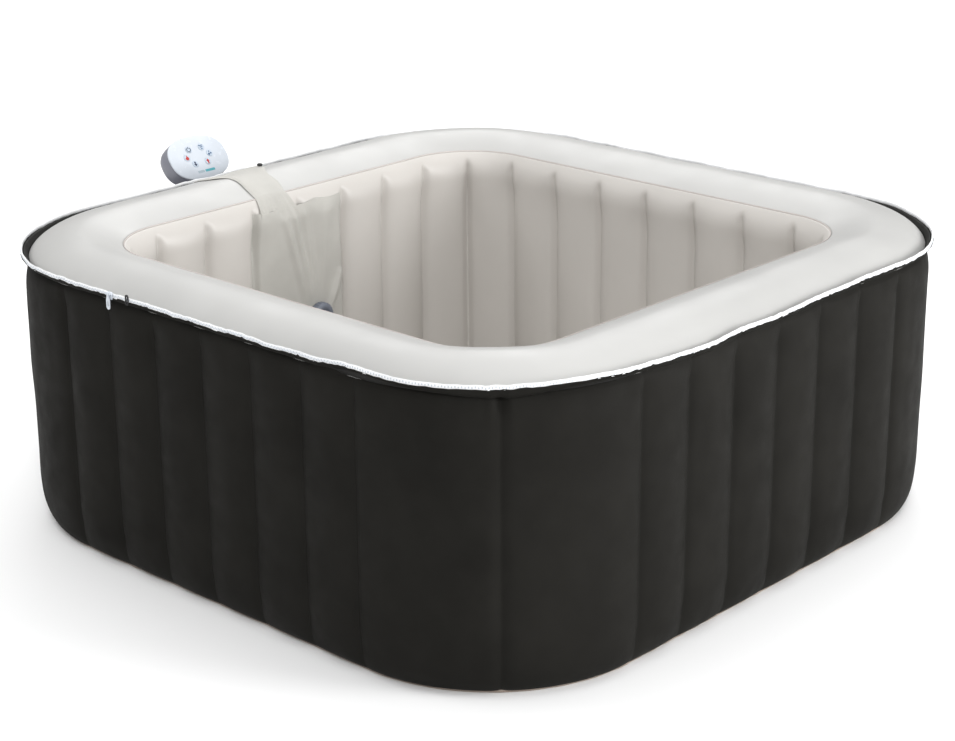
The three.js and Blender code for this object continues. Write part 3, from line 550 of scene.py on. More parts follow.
def make_jacket():
    neck_z = NECK_Z - 0.0120 * ROUND.cornerness + flange_lift()
    tuck_angles = np.radians(np.linspace(74, 4, 14))
    heights = np.concatenate([TUCK_Z * (1 - np.sin(tuck_angles)), np.linspace(0.125, 0.530, 24),
                              np.linspace(0.543, JACKET_TOP_Z, 13)])
    stretch = 1 + (neck_z[None] / JACKET_TOP_Z - 1) * smoothstep(0.45, JACKET_TOP_Z, column(heights))
    rows = column(heights) * stretch
    rows[0] = 0.0062 + 0.0030 * ROUND.cornerness + 0.0014 * ROUND.ripple(0, 0.07, 8)[0]
    offsets = jacket_surface(rows, neck_z[None])
    hem_r, hem_z = hem_rows(offsets[-1], rows[-1])
    lining_r = np.concatenate([hem_r[::-1] - 0.0024, offsets[::-4] - 0.0026])
    lining_z = np.concatenate([hem_z[::-1] + 0.0010, rows[::-4]])
    points = np.concatenate([ROUND.place(offsets, rows), ROUND.place(hem_r, hem_z),
                             ROUND.place(lining_r, lining_z)])
    piece = put("jacket", ring_mesh("jacket", points), JACKET)
    settle(piece, "tub", ["outer_jacket"])


def make_chamber_wall():
    """The air chamber's own wall, which lies against the jacket from inside."""
    foot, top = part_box("inner_wall")[0].z + 0.003, 0.580
    rows = all_round(np.linspace(foot, top, 36))
    offsets = jacket_surface(rows, np.full(len(ROUND.along), 0.606))
    offsets = offsets - 0.0042 - 0.005 * smoothstep(0.52, top, rows)
    skin = np.concatenate([ROUND.place(offsets, rows), ROUND.place((offsets - 0.0014)[::-1], rows[::-1])])
    piece = put("chamber_wall", ring_mesh("chamber_wall", skin), WEB)
    settle(piece, "tub", ["outer_wall"])


def make_webs():
    """Upright sheets that tie the inner wall's welds to the outer wall's, one set to each side."""
    inner, outer = WELD_R + 0.0030, CREST_R - CHANNEL_BULGE - 0.0074
    outer_diagonal = CREST_R - CORNER_DROP - DIAGONAL_DENT - 0.0078
    stations = [(place * PITCH, 0.0, outer) for place in range(-2, 4)]
    stations.append((CORNER, math.pi / 4, outer_diagonal))
    middle_z, web_height = 0.330, 0.42
    for quarter, side in enumerate(("right", "back", "left", "front")):
        made = bmesh.new()
        for y, lean, reach in stations:
            sheet = bmesh.ops.create_grid(made, x_segments=10, y_segments=12, size=0.5)["verts"]
            for v in sheet:
                along = (v.co.x + 0.5) * (reach - inner) + inner
                height = middle_z + v.co.y * web_height
                sag = 0.0012 * math.sin(2 * math.pi * (v.co.y + v.co.x)) * (1 - 4 * v.co.x ** 2)
                v.co = (CORNER + along * math.cos(lean) - sag * math.sin(lean),
                        y + along * math.sin(lean) + sag * math.cos(lean), height)
        bmesh.ops.rotate(made, verts=made.verts, matrix=Matrix.Rotation(quarter * math.pi / 2, 3, "Z"))
        mesh = taken_from(made, f"web_sheets_{side}")
        mesh.shade_smooth()
        piece = put(f"web_sheets_{side}", mesh, WEB)
        thick = piece.modifiers.new("thickness", "SOLIDIFY")
        thick.thickness = 0.0015
        thick.offset = 0
        settle(piece, "tub", [f"webs_{side}"])


# ---- Ground sheet ----
def make_ground_sheet():
    """The sheet under the tub, whose welded edge curls up round the foot of the jacket."""
    curl = 0.0062 + 0.0022 * ROUND.cornerness + 0.0010 * ROUND.ripple(0, 0.10, 14)[0]
    edge = LIP_R + 0.0007 * ROUND.ripple(0, 0.06, 15)[0]
    # Reach past the edge, height, and share of the curl.
    section = [(-0.020, 0.0, 0.0), (-0.004, 0.0, 0.0), (-0.0006, 0.0, 0.3), (0.0, 0.0, 1.0),
               (-0.0012, 0.0004, 1.0), (-0.0026, 0.0004, 0.5), (-0.006, 0.0024, 0.0), (-0.022, 0.0022, 0.0)]
    points = np.concatenate([ROUND.place((edge + r)[None], (rise + share * curl)[None])
                             for r, rise, share in section])
    mesh = grid_mesh("ground_sheet", points, wrap_columns=True)
    closed_by(mesh, points, [(0, -1), (len(points) - 1, 1)])
    piece = put("ground_sheet", mesh, GROUND)
    settle(piece, "tub", ["bottom_sheet"])


# ---- Zipper ----
def make_zipper():
    wave = flange_wave()
    flutter = 0.0007 * ROUND.ripple(0, 0.09, 17)[0]
    lip = FLANGE_R - 0.0004 + flutter
    section = [(-0.0012, 0.6178), (0.0, 0.6195), (0.0002, 0.6230), (-0.0002, 0.6262), (-0.0014, 0.6280),
               (-0.0028, 0.6276), (-0.0036, 0.6252), (-0.0042, 0.6215)]
    wave = wave + 0.0005 * ROUND.ripple(0, 0.022, 25)[0]
    points = np.concatenate([ROUND.place((lip + r)[None], (z + wave)[None]) for r, z in section])
    ribbon = put("zipper_ribbon", ring_mesh("zipper_ribbon", points), ZIPPER)
    settle(ribbon, "tub", ["zipper_tape"])
    make_zipper_backing(lip, wave)
    make_zipper_teeth(lip, wave)
    make_slider()


def make_zipper_backing(lip, wave):
    """The flap behind the ribbon, from the crease out to the zipper, in jacket cloth darkened as painted
    shade under the zipper's overhang.
    """
    root = 0.3755
    share = column(np.linspace(0, 1, 5))
    lower = ROUND.place(root + (lip - 0.0055 - root) * share, 0.6062 + (0.0135 + wave) * share)
    upper = ROUND.place(root - 0.0012 + (lip - 0.0060 - root) * share, 0.6078 + (0.0140 + wave) * share)
    strip = ring_mesh("zipper_backing", np.concatenate([lower, upper[::-1]]))
    # The flap wears the darkened jacket cloth, painted shade of the overhang above it.
    settle(put("zipper_backing", strip, SHADED_HEM), "tub", [])


def make_zipper_teeth(lip, wave):
    """Interlocked teeth along the middle of the ribbon's outer face."""
    pitch, size = 0.0042, Vector((0.0014, 0.0021, 0.0034))
    count = round(ROUND.length / pitch)
    where = np.linspace(0, ROUND.length, count, endpoint=False)
    lap = np.append(ROUND.along, ROUND.length)

    def at(values):
        return np.interp(where, lap, np.append(values, values[0]))

    turn = np.unwrap(np.arctan2(ROUND.normal[:, 1], ROUND.normal[:, 0]))
    angle = np.interp(where, lap, np.append(turn, turn[0] + 2 * math.pi))
    x = at(ROUND.base[:, 0]) + at(lip) * np.cos(angle)
    y = at(ROUND.base[:, 1]) + at(lip) * np.sin(angle)
    z = ZIPPER_Z + at(wave) + np.where(np.arange(count) % 2, 0.0006, -0.0006)
    made = bmesh.new()
    for k in range(count):
        tooth = bmesh.ops.create_cube(made, size=1)["verts"]
        facing = Matrix.Rotation(angle[k], 4, "Z") @ Matrix.Diagonal((*size, 1))
        bmesh.ops.transform(made, matrix=Matrix.Translation((x[k], y[k], z[k])) @ facing, verts=tooth)
    settle(put("zipper_teeth", taken_from(made, "zipper_teeth"), FACE), "tub", [])


def rounded_box(made, centre, size, bevel, segments=2):
    cube = bmesh.ops.create_cube(made, size=1)
    bmesh.ops.scale(made, vec=Vector(size), verts=cube["verts"])
    bmesh.ops.translate(made, vec=Vector(centre), verts=cube["verts"])
    edges = list({e for v in cube["verts"] for e in v.link_edges})
    bmesh.ops.bevel(made, geom=edges, offset=bevel, segments=segments, profile=0.7, affect="EDGES")


def make_slider():
    low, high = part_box("zipper_slider")
    middle = (low + high) / 2
    back = high.y
    made = bmesh.new()
    rounded_box(made, (middle.x, back - 2.9 * MM, ZIPPER_Z), (12.5 * MM, 4.0 * MM, 15.6 * MM), 1.5 * MM, 3)
    for side in (-1, 1):
        ear = (middle.x + side * 5.2 * MM, back - 6.9 * MM, PULL_Z)
        rounded_box(made, ear, (1.7 * MM, 6.4 * MM, 4.6 * MM), 0.5 * MM)
    mesh = taken_from(made, "slider_body")
    mesh.shade_smooth()
    mesh.set_sharp_from_angle(angle=math.radians(50))
    settle(put("slider_body", mesh, FACE), "zipper_slider", ["zipper_slider"])
    pivot = Vector((middle.x, back - 8.2 * MM, PULL_Z))
    half, pin_r = 5.6 * MM, 1.1 * MM
    pin = turned("slider_pin", [(0, -half), (pin_r, -half), (pin_r, half), (0, half)], pivot)
    settle(put("slider_pin", pin, STEEL), "zipper_slider", [])
    make_pull(pivot)


def make_pull(pivot):
    """A flat paddle with a round end and a slot, on a barrel round the slider's pin."""
    outline = bpy.data.curves.new("pull_tab", "CURVE")
    outline.dimensions = "2D"
    outline.fill_mode = "BOTH"
    outline.extrude = 0.7 * MM
    outline.bevel_depth = 0.45 * MM
    outline.bevel_resolution = 2
    top, bottom, half, neck = -3.2 * MM, -33.0 * MM, 5.0 * MM, 2.7 * MM
    side = [(neck, top), (neck, top - 4 * MM), (half, top - 10 * MM), (half, bottom + half)]
    arc = [(half * math.cos(a), bottom + half - half * math.sin(a))
           for a in np.linspace(0.3, math.pi - 0.3, 9)]
    paddle = [*side, *arc, *[(-x, y) for x, y in reversed(side)]]
    slot_half, slot_top, slot_low = 1.9 * MM, top - 13 * MM, bottom + 7 * MM
    slot_end = [(slot_half * math.cos(a), slot_half * math.sin(a)) for a in np.linspace(0, math.pi, 7)]
    slot = [*[(x, slot_top + y) for x, y in slot_end], *[(-x, slot_low - y) for x, y in slot_end]]
    for points in (paddle, slot):
        spline = outline.splines.new("POLY")
        spline.points.add(len(points) - 1)
        for point, (x, y) in zip(spline.points, points):
            point.co = (x, y, 0, 1)
        spline.use_cyclic_u = True
    holder = bpy.data.objects.new("pull_outline", outline)
    mesh = bpy.data.meshes.new_from_object(holder)
    bpy.data.objects.remove(holder)
    hanging = Matrix.Translation(pivot - Vector((0, 0.5 * MM, 0))) @ Matrix.Rotation(math.pi / 2, 4, "X")
    mesh.transform(hanging)
    finish_hard(mesh, math.radians(50))
    settle(put("pull_tab", mesh, FACE), "zipper_pull", ["zipper_pull"])
    section = rounded_profile(tube_profile(1.4 * MM, 2.7 * MM, -3.9 * MM, 3.9 * MM), 0.4 * MM)
    settle(put("pull_barrel", turned("pull_barrel", section, pivot), FACE), "zipper_pull", [])


# ---- Rim, weld line and inner wall ----
def rim_height(offset):
    """Height of the soft rim: a steep outer shoulder and a long slope down to the inner weld line."""
    outward = np.clip((offset - RIM_MIDDLE_R) / RIM_HALF, 0, 1)
    inward = np.clip((RIM_MIDDLE_R - offset) / (RIM_MIDDLE_R - WELD_R), 0, 1)
    outer_side = RIM_FOOT_Z + (RIM_TOP_Z - RIM_FOOT_Z) * (1 - outward ** 2) ** 0.65
    inner_side = WELD_Z + (RIM_TOP_Z - WELD_Z) * (1 - inward ** 1.6)
    return np.where(offset > RIM_MIDDLE_R, outer_side, inner_side)


def rim_surface(offset):
    """Height of the soft rim, with slight dents where the webs pull."""
    gap = ROUND.weld_gap(RIM_MIDDLE_R)
    near_foot = np.clip((offset - RIM_MIDDLE_R) / RIM_HALF, 0, 1) ** 3
    near_weld = smoothstep(WELD_R + 0.03, WELD_R, offset)
    pull = np.exp(-(gap / 0.028) ** 2)
    soft = 0.0009 * ROUND.ripple(offset * 3, 0.30, 21, 0.6)
    return rim_height(offset) - 0.0022 * pull * near_foot + soft * (1 - near_foot) * (1 - near_weld) - 0.0012


def make_rim():
    outer_side = RIM_MIDDLE_R + (RIM_HALF - 0.0004) * np.cos(np.radians(np.linspace(0, 88, 26)))
    inner_side = np.linspace(RIM_MIDDLE_R, WELD_R, 22)
    offsets = all_round(np.concatenate([outer_side, inner_side]))
    outside = ROUND.place(offsets, rim_surface(offsets))
    under = offsets[::-3]
    inside = ROUND.place(RIM_MIDDLE_R + (under - RIM_MIDDLE_R) * 0.985, rim_surface(under) - 0.0022)
    piece = put("rim", ring_mesh("rim", np.concatenate([outside, inside])), RIM)
    settle(piece, "tub", ["rim_skin"])


def make_weld_line():
    """The bead of the weld between the rim and the inner wall."""
    bead = np.array([(0.0006, 0.0022), (0.0014, 0.0010), (0.0010, -0.0010), (-0.0010, -0.0014),
                     (-0.0016, 0.0004), (-0.0006, 0.0020)]) * 0.6
    points = ROUND.place(all_round(WELD_R - 0.0002 + bead[:, 0]), column(WELD_Z - 0.0008 + bead[:, 1]))
    settle(put("weld_line", ring_mesh("weld_line", points[::-1]), WELD), "tub", [])


def wall_reach(heights):
    """Reach of the inner wall's channel crests at each height."""
    shoulder = np.clip((heights - SHOULDER_Z) / (WELD_Z - SHOULDER_Z), 0, 1)
    toe = 0.020 * np.clip((0.09 - heights) / 0.076, 0, 1) ** 2
    return INNER_CREST_R + (WELD_R - INNER_CREST_R) * shoulder ** 2.4 + toe


def wall_relief(heights, nearest, half):
    """How far the inner wall stands back from its crests, by the distance to the nearest weld."""
    pillow = np.clip(1 - nearest / half, 0, 1) ** 2.2
    toe_fade = 0.35 + 0.65 * smoothstep(0.0, 0.11, heights)
    body = 0.0190 * pillow * smoothstep(0.615, 0.50, heights) * toe_fade
    seam = np.exp(-(nearest / 0.0085) ** 2) * smoothstep(0.609, 0.575, heights) * toe_fade
    return body + 0.0085 * seam


def inner_surface(heights):
    """Offsets of the inner wall's tub side. Its channels stand inward between the welds."""
    reach = INNER_CREST_R + 0.008
    nearest = np.minimum(ROUND.weld_gap(reach), ROUND.diagonal_gap(reach))
    half = np.where(ROUND.corner > 0, reach * math.pi / 8, PITCH / 2)
    soft = 0.0008 * ROUND.ripple(heights, 0.20, 23, 0.7) * smoothstep(0.0, 0.05, WELD_Z - heights)
    return wall_reach(heights) + wall_relief(heights, nearest, half) + soft


def make_inner_wall():
    rows = all_round(np.concatenate([np.linspace(WELD_Z, 0.54, 20), np.linspace(0.525, 0.10, 22),
                                     np.linspace(0.085, WALL_FOOT_Z, 9)]))
    offsets = inner_surface(rows)
    tub_side = ROUND.place(offsets, rows)
    chamber_side = ROUND.place(offsets[::-4] + SKIN, rows[::-4])
    skin = ring_mesh("inner_wall_skin", np.concatenate([tub_side, chamber_side]))
    piece = put("inner_wall_skin", skin, LINER)
    settle(piece, "tub", ["inner_wall"])


# ---- Floor and bubble duct ----
def make_floor():
    under_wall = 0.009  # how far the sheet reaches under the wall's foot
    edge = ROUND.place(all_round([floor_high.x - CORNER + under_wall]), 0.0)[0]
    shares = np.linspace(1, 0.04, 34)
    top = np.array([edge * s for s in shares])
    x, y = top[..., 0], top[..., 1]
    soft = 0.0010 * (np.sin(9 * x + 1.2) * np.cos(8 * y + 0.4) + 0.6 * np.sin(17 * x - 6 * y))
    top[..., 2] = floor_high.z - 0.0012 + soft * (1 - shares[:, None] ** 6)
    under = edge.copy()[None]
    under[..., 2] = floor_low.z
    points = np.concatenate([under, top])
    mesh = grid_mesh("tub_floor", points, wrap_columns=True)
    closed_by(mesh, points, [(0, -1), (len(points) - 1, 1)])
    piece = put("tub_floor", mesh, FLOOR)
    settle(piece, "tub", ["floor_sheet"])


def make_bubble_duct():
    outer, middle = duct_high.x - CORNER, 0.125
    crown = duct_high.z - 0.0006
    base = duct_low.z + 0.0002
    half_width, flat = 0.0165, 0.0016
    shape = [(middle + half_width * math.cos(a), base + flat + (crown - base - flat) * math.sin(a) ** 0.8)
             for a in np.radians(np.linspace(0, 180, 15))]
    inner, outer, hem = 0.1022, outer - 0.0002, base + 0.0012
    profile = np.array([(outer, base), (outer, hem), *shape, (inner, hem), (inner, base)])
    beat = 0.0008 * np.cos(2 * math.pi * ROUND.along / 0.05)
    height = column(profile[:, 1])
    points = ROUND.place(all_round(profile[:, 0]), height + beat * (height > base + 0.008) - 0.0008)
    points[..., 2] = np.maximum(points[..., 2], base)
    settle(put("duct_skin", ring_mesh("duct_skin", points), FLOOR), "tub", ["bubble_duct"])
    make_bubble_holes(middle, crown)


def make_bubble_holes(middle, crown):
    """Small eyelets along the duct's crown, where the air comes out."""
    made = bmesh.new()
    spacing = 0.045
    for quarter in range(4):
        for k in range(-8, 9):
            local = Vector((CORNER + middle, k * spacing, crown - 0.0007))
            spot = Matrix.Rotation(quarter * math.pi / 2, 4, "Z") @ local
            for radius, drop in ((3.0 * MM, 0.0), (1.7 * MM, 0.4 * MM)):
                disc = bmesh.ops.create_cone(made, cap_ends=True, segments=16, radius1=radius,
                                             radius2=radius * 0.8, depth=0.9 * MM)["verts"]
                bmesh.ops.translate(made, vec=spot + Vector((0, 0, drop)), verts=disc)
                for face in {f for v in disc for f in v.link_faces}:
                    face.material_index = 0 if drop == 0 else 1
    mesh = taken_from(made, "bubble_eyelets")
    settle(put("bubble_eyelets", mesh, FITTING, RUBBER), "tub", [])


# ---- Hose cover ----
def cloth_slab(name, points, thickness):
    """Closes a cloth grid into a thin solid, with its back behind it and its side edges thinned out."""
    across = np.gradient(points, axis=1)
    down = np.gradient(points, axis=0)
    normals = np.cross(across, down)
    normals /= np.linalg.norm(normals, axis=2, keepdims=True)
    step = np.minimum(np.arange(points.shape[1]), np.arange(points.shape[1])[::-1])
    taper = (0.3 + 0.7 * np.clip(step / 3, 0, 1))[None, :, None]
    loop = np.concatenate([points, (points - normals * thickness * taper)[:, ::-1]], axis=1)
    mesh = grid_mesh(name, loop, wrap_columns=True)
    closed_by(mesh, loop, [(0, 1), (len(loop) - 1, -1)])
    finish_hard(mesh, math.radians(60))
    return mesh


def strap_edges(offset):
    """Left and right edge of the strap, along Y, at each offset over the rim."""
    waist = 0.006 * np.exp(-((offset - 0.238) / 0.03) ** 2)
    left = -0.121 + waist - 0.040 * smoothstep(0.262, 0.305, offset)
    right = -0.030 + 0.014 * smoothstep(0.160, 0.215, offset) + 0.032 * smoothstep(0.235, 0.300, offset)
    return left, right


def make_strap():
    """The strap from the flange over the rim, with a pleated tail down the inner wall."""
    offsets = np.concatenate([np.linspace(0.352, 0.185, 34), np.linspace(0.182, WELD_R, 5)])
    share = np.linspace(0, 1, 34)
    left, right = strap_edges(offsets)
    y = column(left) + column(right - left) * share
    r = column(offsets) * np.ones((1, len(share)))
    to_edge = np.minimum(share, 1 - share) * column(right - left)
    slack = 0.0012 * np.sin(38 * y + 26 * r) * smoothstep(0.175, 0.22, r) + 0.0005 * np.sin(90 * y - 40 * r)
    height = rim_height(r) + 0.0006 + 0.0024 * smoothstep(0.0, 0.006, to_edge) + slack
    over = np.stack([-(CORNER + r), y, height], axis=-1)

    tail_z = column(np.linspace(0.615, 0.580, 6))
    tail_y = y[-1] + (share - 0.4) * 0.02 * column(np.linspace(0.2, 1, 6))
    pleat = 0.0022 * np.cos(2 * math.pi * 5 * share) * column(np.linspace(0.3, 1, 6))
    tail_x = -(CORNER + wall_reach(tail_z) - 0.0035 - pleat)
    tail = np.stack([tail_x, tail_y, tail_z * np.ones((1, len(share)))], axis=-1)
    points = np.concatenate([over, tail])
    piece = put("cover_strap", cloth_slab("cover_strap", points[:, ::-1], 0.0022), COVER)
    settle(piece, "tub", [])


def fold(y, z, top, foot, width, height):
    """A ridge of cloth from a point near the top hem to a point by the fitting."""
    (y0, z0), (y1, z1) = top, foot
    length = math.hypot(y1 - y0, z1 - z0)
    along = np.clip(((y - y0) * (y1 - y0) + (z - z0) * (z1 - z0)) / length ** 2, 0, 1)
    away = np.hypot(y - (y0 + along * (y1 - y0)), z - (z0 + along * (z1 - z0)))
    taper = smoothstep(0, 0.12, along) * (0.55 + 0.45 * np.sin(math.pi * along))
    return height * taper * np.exp(-(away / width) ** 2)


# The apron's folds: top (y, z), foot (y, z), width and height.
APRON_FOLDS = (((-0.067, 0.590), (0.010, 0.320), 0.0110, 0.009),
               ((-0.034, 0.590), (0.020, 0.325), 0.0095, 0.012),
               ((0.006, 0.588), (0.030, 0.335), 0.0110, 0.008),
               ((0.070, 0.585), (0.052, 0.335), 0.0180, 0.006),
               ((0.122, 0.410), (0.070, 0.300), 0.0110, 0.008))
APRON_LEFT, APRON_RIGHT = -0.1525, 0.1365
FITTING_Y, FITTING_Z = 0.035, 0.306  # the fitting that gathers the apron


def make_apron():
    """Cloth over the hoses' wall fittings: held flat along its edges, and gathered at the fitting."""
    share = np.linspace(0, 1, 90)
    width = APRON_RIGHT - APRON_LEFT
    level = column(np.concatenate([np.linspace(0.594, 0.545, 16), np.linspace(0.540, 0.145, 70)]))
    y = APRON_LEFT + width * share - smoothstep(0.40, 0.60, level) * 0.006 * np.sin(math.pi * (share - 0.5))
    z = level - 0.006 * np.abs(np.sin(2.6 * math.pi * share + 0.5)) * smoothstep(0.57, 0.594, level)
    nearest = np.abs((y / PITCH) - np.round(y / PITCH)) * PITCH
    shoulder = wall_reach(z) - INNER_CREST_R
    wall = shoulder + wall_relief(z, nearest, PITCH / 2)
    sunk = shoulder + 0.45 * wall_relief(z, np.maximum(nearest, 0.012), PITCH / 2)
    lift = 0.0040 - sunk + sum(fold(y, z, *shape) for shape in APRON_FOLDS)
    lift = lift + 0.0010 * np.sin(2 * math.pi * 5.5 * share + 0.7) * smoothstep(0.555, 0.59, z)
    lift = lift + 0.0008 * np.sin(40 * y + 21 * z) + 0.0005 * np.sin(33 * z - 60 * y)
    held = smoothstep(0.0, 0.018, np.minimum(share, 1 - share) * width)
    proud = np.maximum(lift, 0.0026 - sunk) * held + (0.0010 - wall) * (1 - held)
    pinch = np.exp(-(np.hypot(y - FITTING_Y, z - FITTING_Z) / 0.045) ** 2)
    x = proud * (1 - pinch) + 0.0050 * pinch - (CORNER + INNER_CREST_R)
    points = np.stack([x, y, z], axis=-1)
    piece = put("cover_apron", cloth_slab("cover_apron", points[:, ::-1], 0.0020), COVER)
    settle(piece, "tub", ["hose_cover"])


def make_press_stud():
    low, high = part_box("press_stud")
    middle = (low + high) / 2
    radius = (high.x - low.x) / 2 + 0.4 * MM
    top = high.z + 2.0 * MM
    rise = 3.4 * MM
    dome = [(radius * math.cos(a), top - rise + rise * math.sin(a))
            for a in np.radians(np.linspace(0, 90, 8))]
    profile = [(0, top - 5.5 * MM), (radius - 0.6 * MM, top - 5.5 * MM), (radius, top - 4.6 * MM), *dome]
    mesh = turned("stud", profile, (middle.x, middle.y, 0), axis="Z")
    settle(put("stud", mesh, RUBBER), "tub", ["press_stud"])


# ---- Turned fittings that show ----
def axis_of(node):
    """Start, end, centre (y, z) and radius of a CAD node that is turned about the X direction."""
    low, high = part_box(node)
    return low.x, high.x, (low.y + high.y) / 2, (low.z + high.z) / 2, (high.z - low.z) / 2


def knurled_ring(name, profile, centre, ribs, depth, segments=144):
    """A turned ring whose outermost points carry ribs round the edge."""
    widest = max(r for r, _ in profile)
    angles = np.linspace(0, 2 * math.pi, segments, endpoint=False)
    ribbing = depth * (0.5 + 0.5 * np.sign(np.sin(ribs * angles)) * np.abs(np.sin(ribs * angles)) ** 0.5)
    rows = []
    for r, d in profile:
        reach = r - ribbing if r > widest - 2.5 * MM else r
        ring = [np.full(segments, d), reach * np.cos(angles), reach * np.sin(angles)]
        rows.append(np.stack(ring, axis=-1))
    mesh = grid_mesh(name, np.array(rows), wrap_columns=True)
    mesh.transform(Matrix.Translation((0, centre[0], centre[1])))
    finish_hard(mesh, math.radians(50))
    return mesh


def make_union_nuts():
    sizes = (("return", 0.0205, 0.0325), ("suction", 0.0205, 0.0325), ("air", 0.0145, 0.0265))
    for port, bore, outer in sizes:
        node, name = f"{port}_union_nut", f"{port}_nut"
        start, end, y, z, _ = axis_of(node)
        profile = rounded_profile(tube_profile(bore, outer, start, end), 1.4 * MM)
        nut = knurled_ring(name, profile, (y, z), 18, 2.0 * MM)
        settle(put(name, nut, DARK), node, [node])


def lid_profile(bore, radius, face, end, wall):
    """A cup whose closed end, at face, has a chamfered edge."""
    return rounded_profile([(0, face), (radius - 2 * MM, face), (radius, face + 2 * MM), (radius, end),
                            (bore, end), (bore, face + wall), (0, face + wall)])


def make_caps():
    start, end, y, z, radius = axis_of("drain_cap")
    profile = lid_profile(18.5 * MM, radius, start, end, 4 * MM)
    lid = knurled_ring("drain_lid", profile, (y, z), 20, 1.2 * MM)
    settle(put("drain_lid", lid, DARK), "drain_cap", ["drain_cap"])

    start, end, y, z, _ = axis_of("air_valve_cap")
    face = start + 5 * MM
    profile = lid_profile(14.5 * MM, 19 * MM, face, end, 3 * MM)
    lid = knurled_ring("valve_lid", profile, (y, z), 24, 0.9 * MM)
    settle(put("valve_lid", lid, DARK), "air_valve_cap", ["air_valve_cap"])
    grip = bmesh.new()
    rounded_box(grip, (face - 2 * MM, y, z), (6 * MM, 4 * MM, 24 * MM), 1.2 * MM, 3)
    mesh = taken_from(grip, "valve_grip")
    finish_hard(mesh)
    settle(put("valve_grip", mesh, DARK), "air_valve_cap", [])


def make_grille():
    start, end, y, z, radius = axis_of("return_grille")
    face = end - 4.5 * MM
    sunk = face - 2.2 * MM
    profile = [(20.6 * MM, start), (radius - 1.5 * MM, start), (radius, start + 2 * MM),
               (radius, face - 6 * MM), (radius - 5 * MM, face - 1 * MM), (radius - 8 * MM, face),
               (20 * MM, face), (18.5 * MM, sunk), (9 * MM, sunk), (7.5 * MM, face), (0, face)]
    body = knurled_ring("grille_body", rounded_profile(profile, 1.2 * MM), (y, z), 22, 1.3 * MM)
    settle(put("grille_body", body, FITTING), "return_grille", ["return_grille"])
    made = bmesh.new()
    spokes = 12
    hub = Matrix.Translation((face - 1.0 * MM, y, z))
    spoke = Matrix.Translation((0, 13.5 * MM, 0)) @ Matrix.Diagonal((2.4 * MM, 11 * MM, 1.6 * MM, 1))
    for k in range(spokes):
        cube = bmesh.ops.create_cube(made, size=1)["verts"]
        turn = Matrix.Rotation(k * 2 * math.pi / spokes, 4, "X")
        bmesh.ops.transform(made, matrix=hub @ turn @ spoke, verts=cube)
    rounded_box(made, (face + 2 * MM, y, z), (5 * MM, 4 * MM, 17 * MM), 1.1 * MM, 3)
    mesh = taken_from(made, "grille_bars")
    mesh.shade_smooth()
    mesh.set_sharp_from_angle(angle=math.radians(40))
    settle(put("grille_bars", mesh, FITTING), "return_grille", [])


# ---- Control head ----
HEAD_CENTRE = Vector((-0.937, 0, 0.642))
HEAD_TILT = math.radians(52)
HEAD_LENGTH, HEAD_HEIGHT, HEAD_DEPTH, PLATE = 0.176, 0.118, 0.050, 0.004
HEAD = Matrix.Translation(HEAD_CENTRE) @ Matrix.Rotation(HEAD_TILT, 4, "Y")


def oval(inset, steps=96):
    """Outline of the head, as (up, along) in its own face plane."""
    half_up, half_along = HEAD_HEIGHT / 2 - inset, HEAD_LENGTH / 2 - inset
    angles = np.linspace(0, 2 * math.pi, steps, endpoint=False)
    power = 2 / 2.5
    up = half_up * np.sign(np.cos(angles)) * np.abs(np.cos(angles)) ** power
    along = half_along * np.sign(np.sin(angles)) * np.abs(np.sin(angles)) ** power
    return up, along


def oval_loft(name, sections, material, body, nodes):
    """A closed piece through ovals of (inset, depth below the face)."""
    rows = []
    for inset, depth in sections:
        up, along = oval(inset)
        rows.append(np.stack([up, along, np.full(len(up), depth)], axis=-1))
    points = np.array(rows)
    mesh = grid_mesh(name, points, wrap_columns=True)
    closed_by(mesh, points, [(0, -1), (len(points) - 1, 1)])
    mesh.transform(HEAD)
    finish_hard(mesh, math.radians(40))
    return settle(put(name, mesh, material), body, nodes)


# Each button's place on the face: up, and along it.
BUTTONS = {"power": (0.024, -0.020), "filter": (0.024, 0.020), "heater": (0.004, -0.036),
           "bubbles": (0.004, 0.036), "cooler": (-0.016, -0.020), "warmer": (-0.016, 0.020)}
BUTTON_R = 0.0080


def on_face(up, along, rise=0.0):
    """The frame of a place on the head's face."""
    return HEAD @ Matrix.Translation((-up, along, rise))


def cut_button_holes(plate):
    """Opens a round hole in the face plate for each button."""
    made = bmesh.new()
    hole_r = BUTTON_R + 0.25 * MM
    for up, along in BUTTONS.values():
        bmesh.ops.create_cone(made, cap_ends=True, segments=64, radius1=hole_r, radius2=hole_r,
                              depth=4 * PLATE, matrix=on_face(up, along, -PLATE / 2))
    mesh = taken_from(made, "button_holes")
    cutter = put("button_holes", mesh)
    cut = plate.modifiers.new("holes", "BOOLEAN")
    cut.object = cutter
    cut.solver = "EXACT"
    whole = bpy.data.meshes.new_from_object(plate.evaluated_get(bpy.context.evaluated_depsgraph_get()))
    plate.modifiers.clear()
    plate.data = whole
    bpy.data.objects.remove(cutter)
    bpy.data.meshes.remove(mesh)


def make_head():
    """The sections of the body, the plate and the dark line between them are (inset, depth)."""
    back = [(0.014, -HEAD_DEPTH), (0.008, -HEAD_DEPTH + 0.001), (0.003, -HEAD_DEPTH + 0.005),
            (0.0006, -HEAD_DEPTH + 0.012), (0.0, -HEAD_DEPTH + 0.02), (0.0, -PLATE - 0.0022),
            (0.0008, -PLATE - 0.0012)]
    oval_loft("head_body", back, SHELL, "tub", ["head_shell"])
    plate = [(0.0006, -PLATE - 0.0004), (0.0, -PLATE + 0.0004), (0.0, -0.0016), (0.0005, -0.0006),
             (0.0016, 0.0)]
    face_plate = oval_loft("head_plate", plate, FACE, "tub", ["head_face"])
    cut_button_holes(face_plate)
    seam = [(0.0016, -PLATE - 0.0016), (0.0016, -PLATE - 0.0003)]
    oval_loft("head_seam", seam, RUBBER, "tub", [])
    make_buttons()
    make_icons()
    make_label_bars()


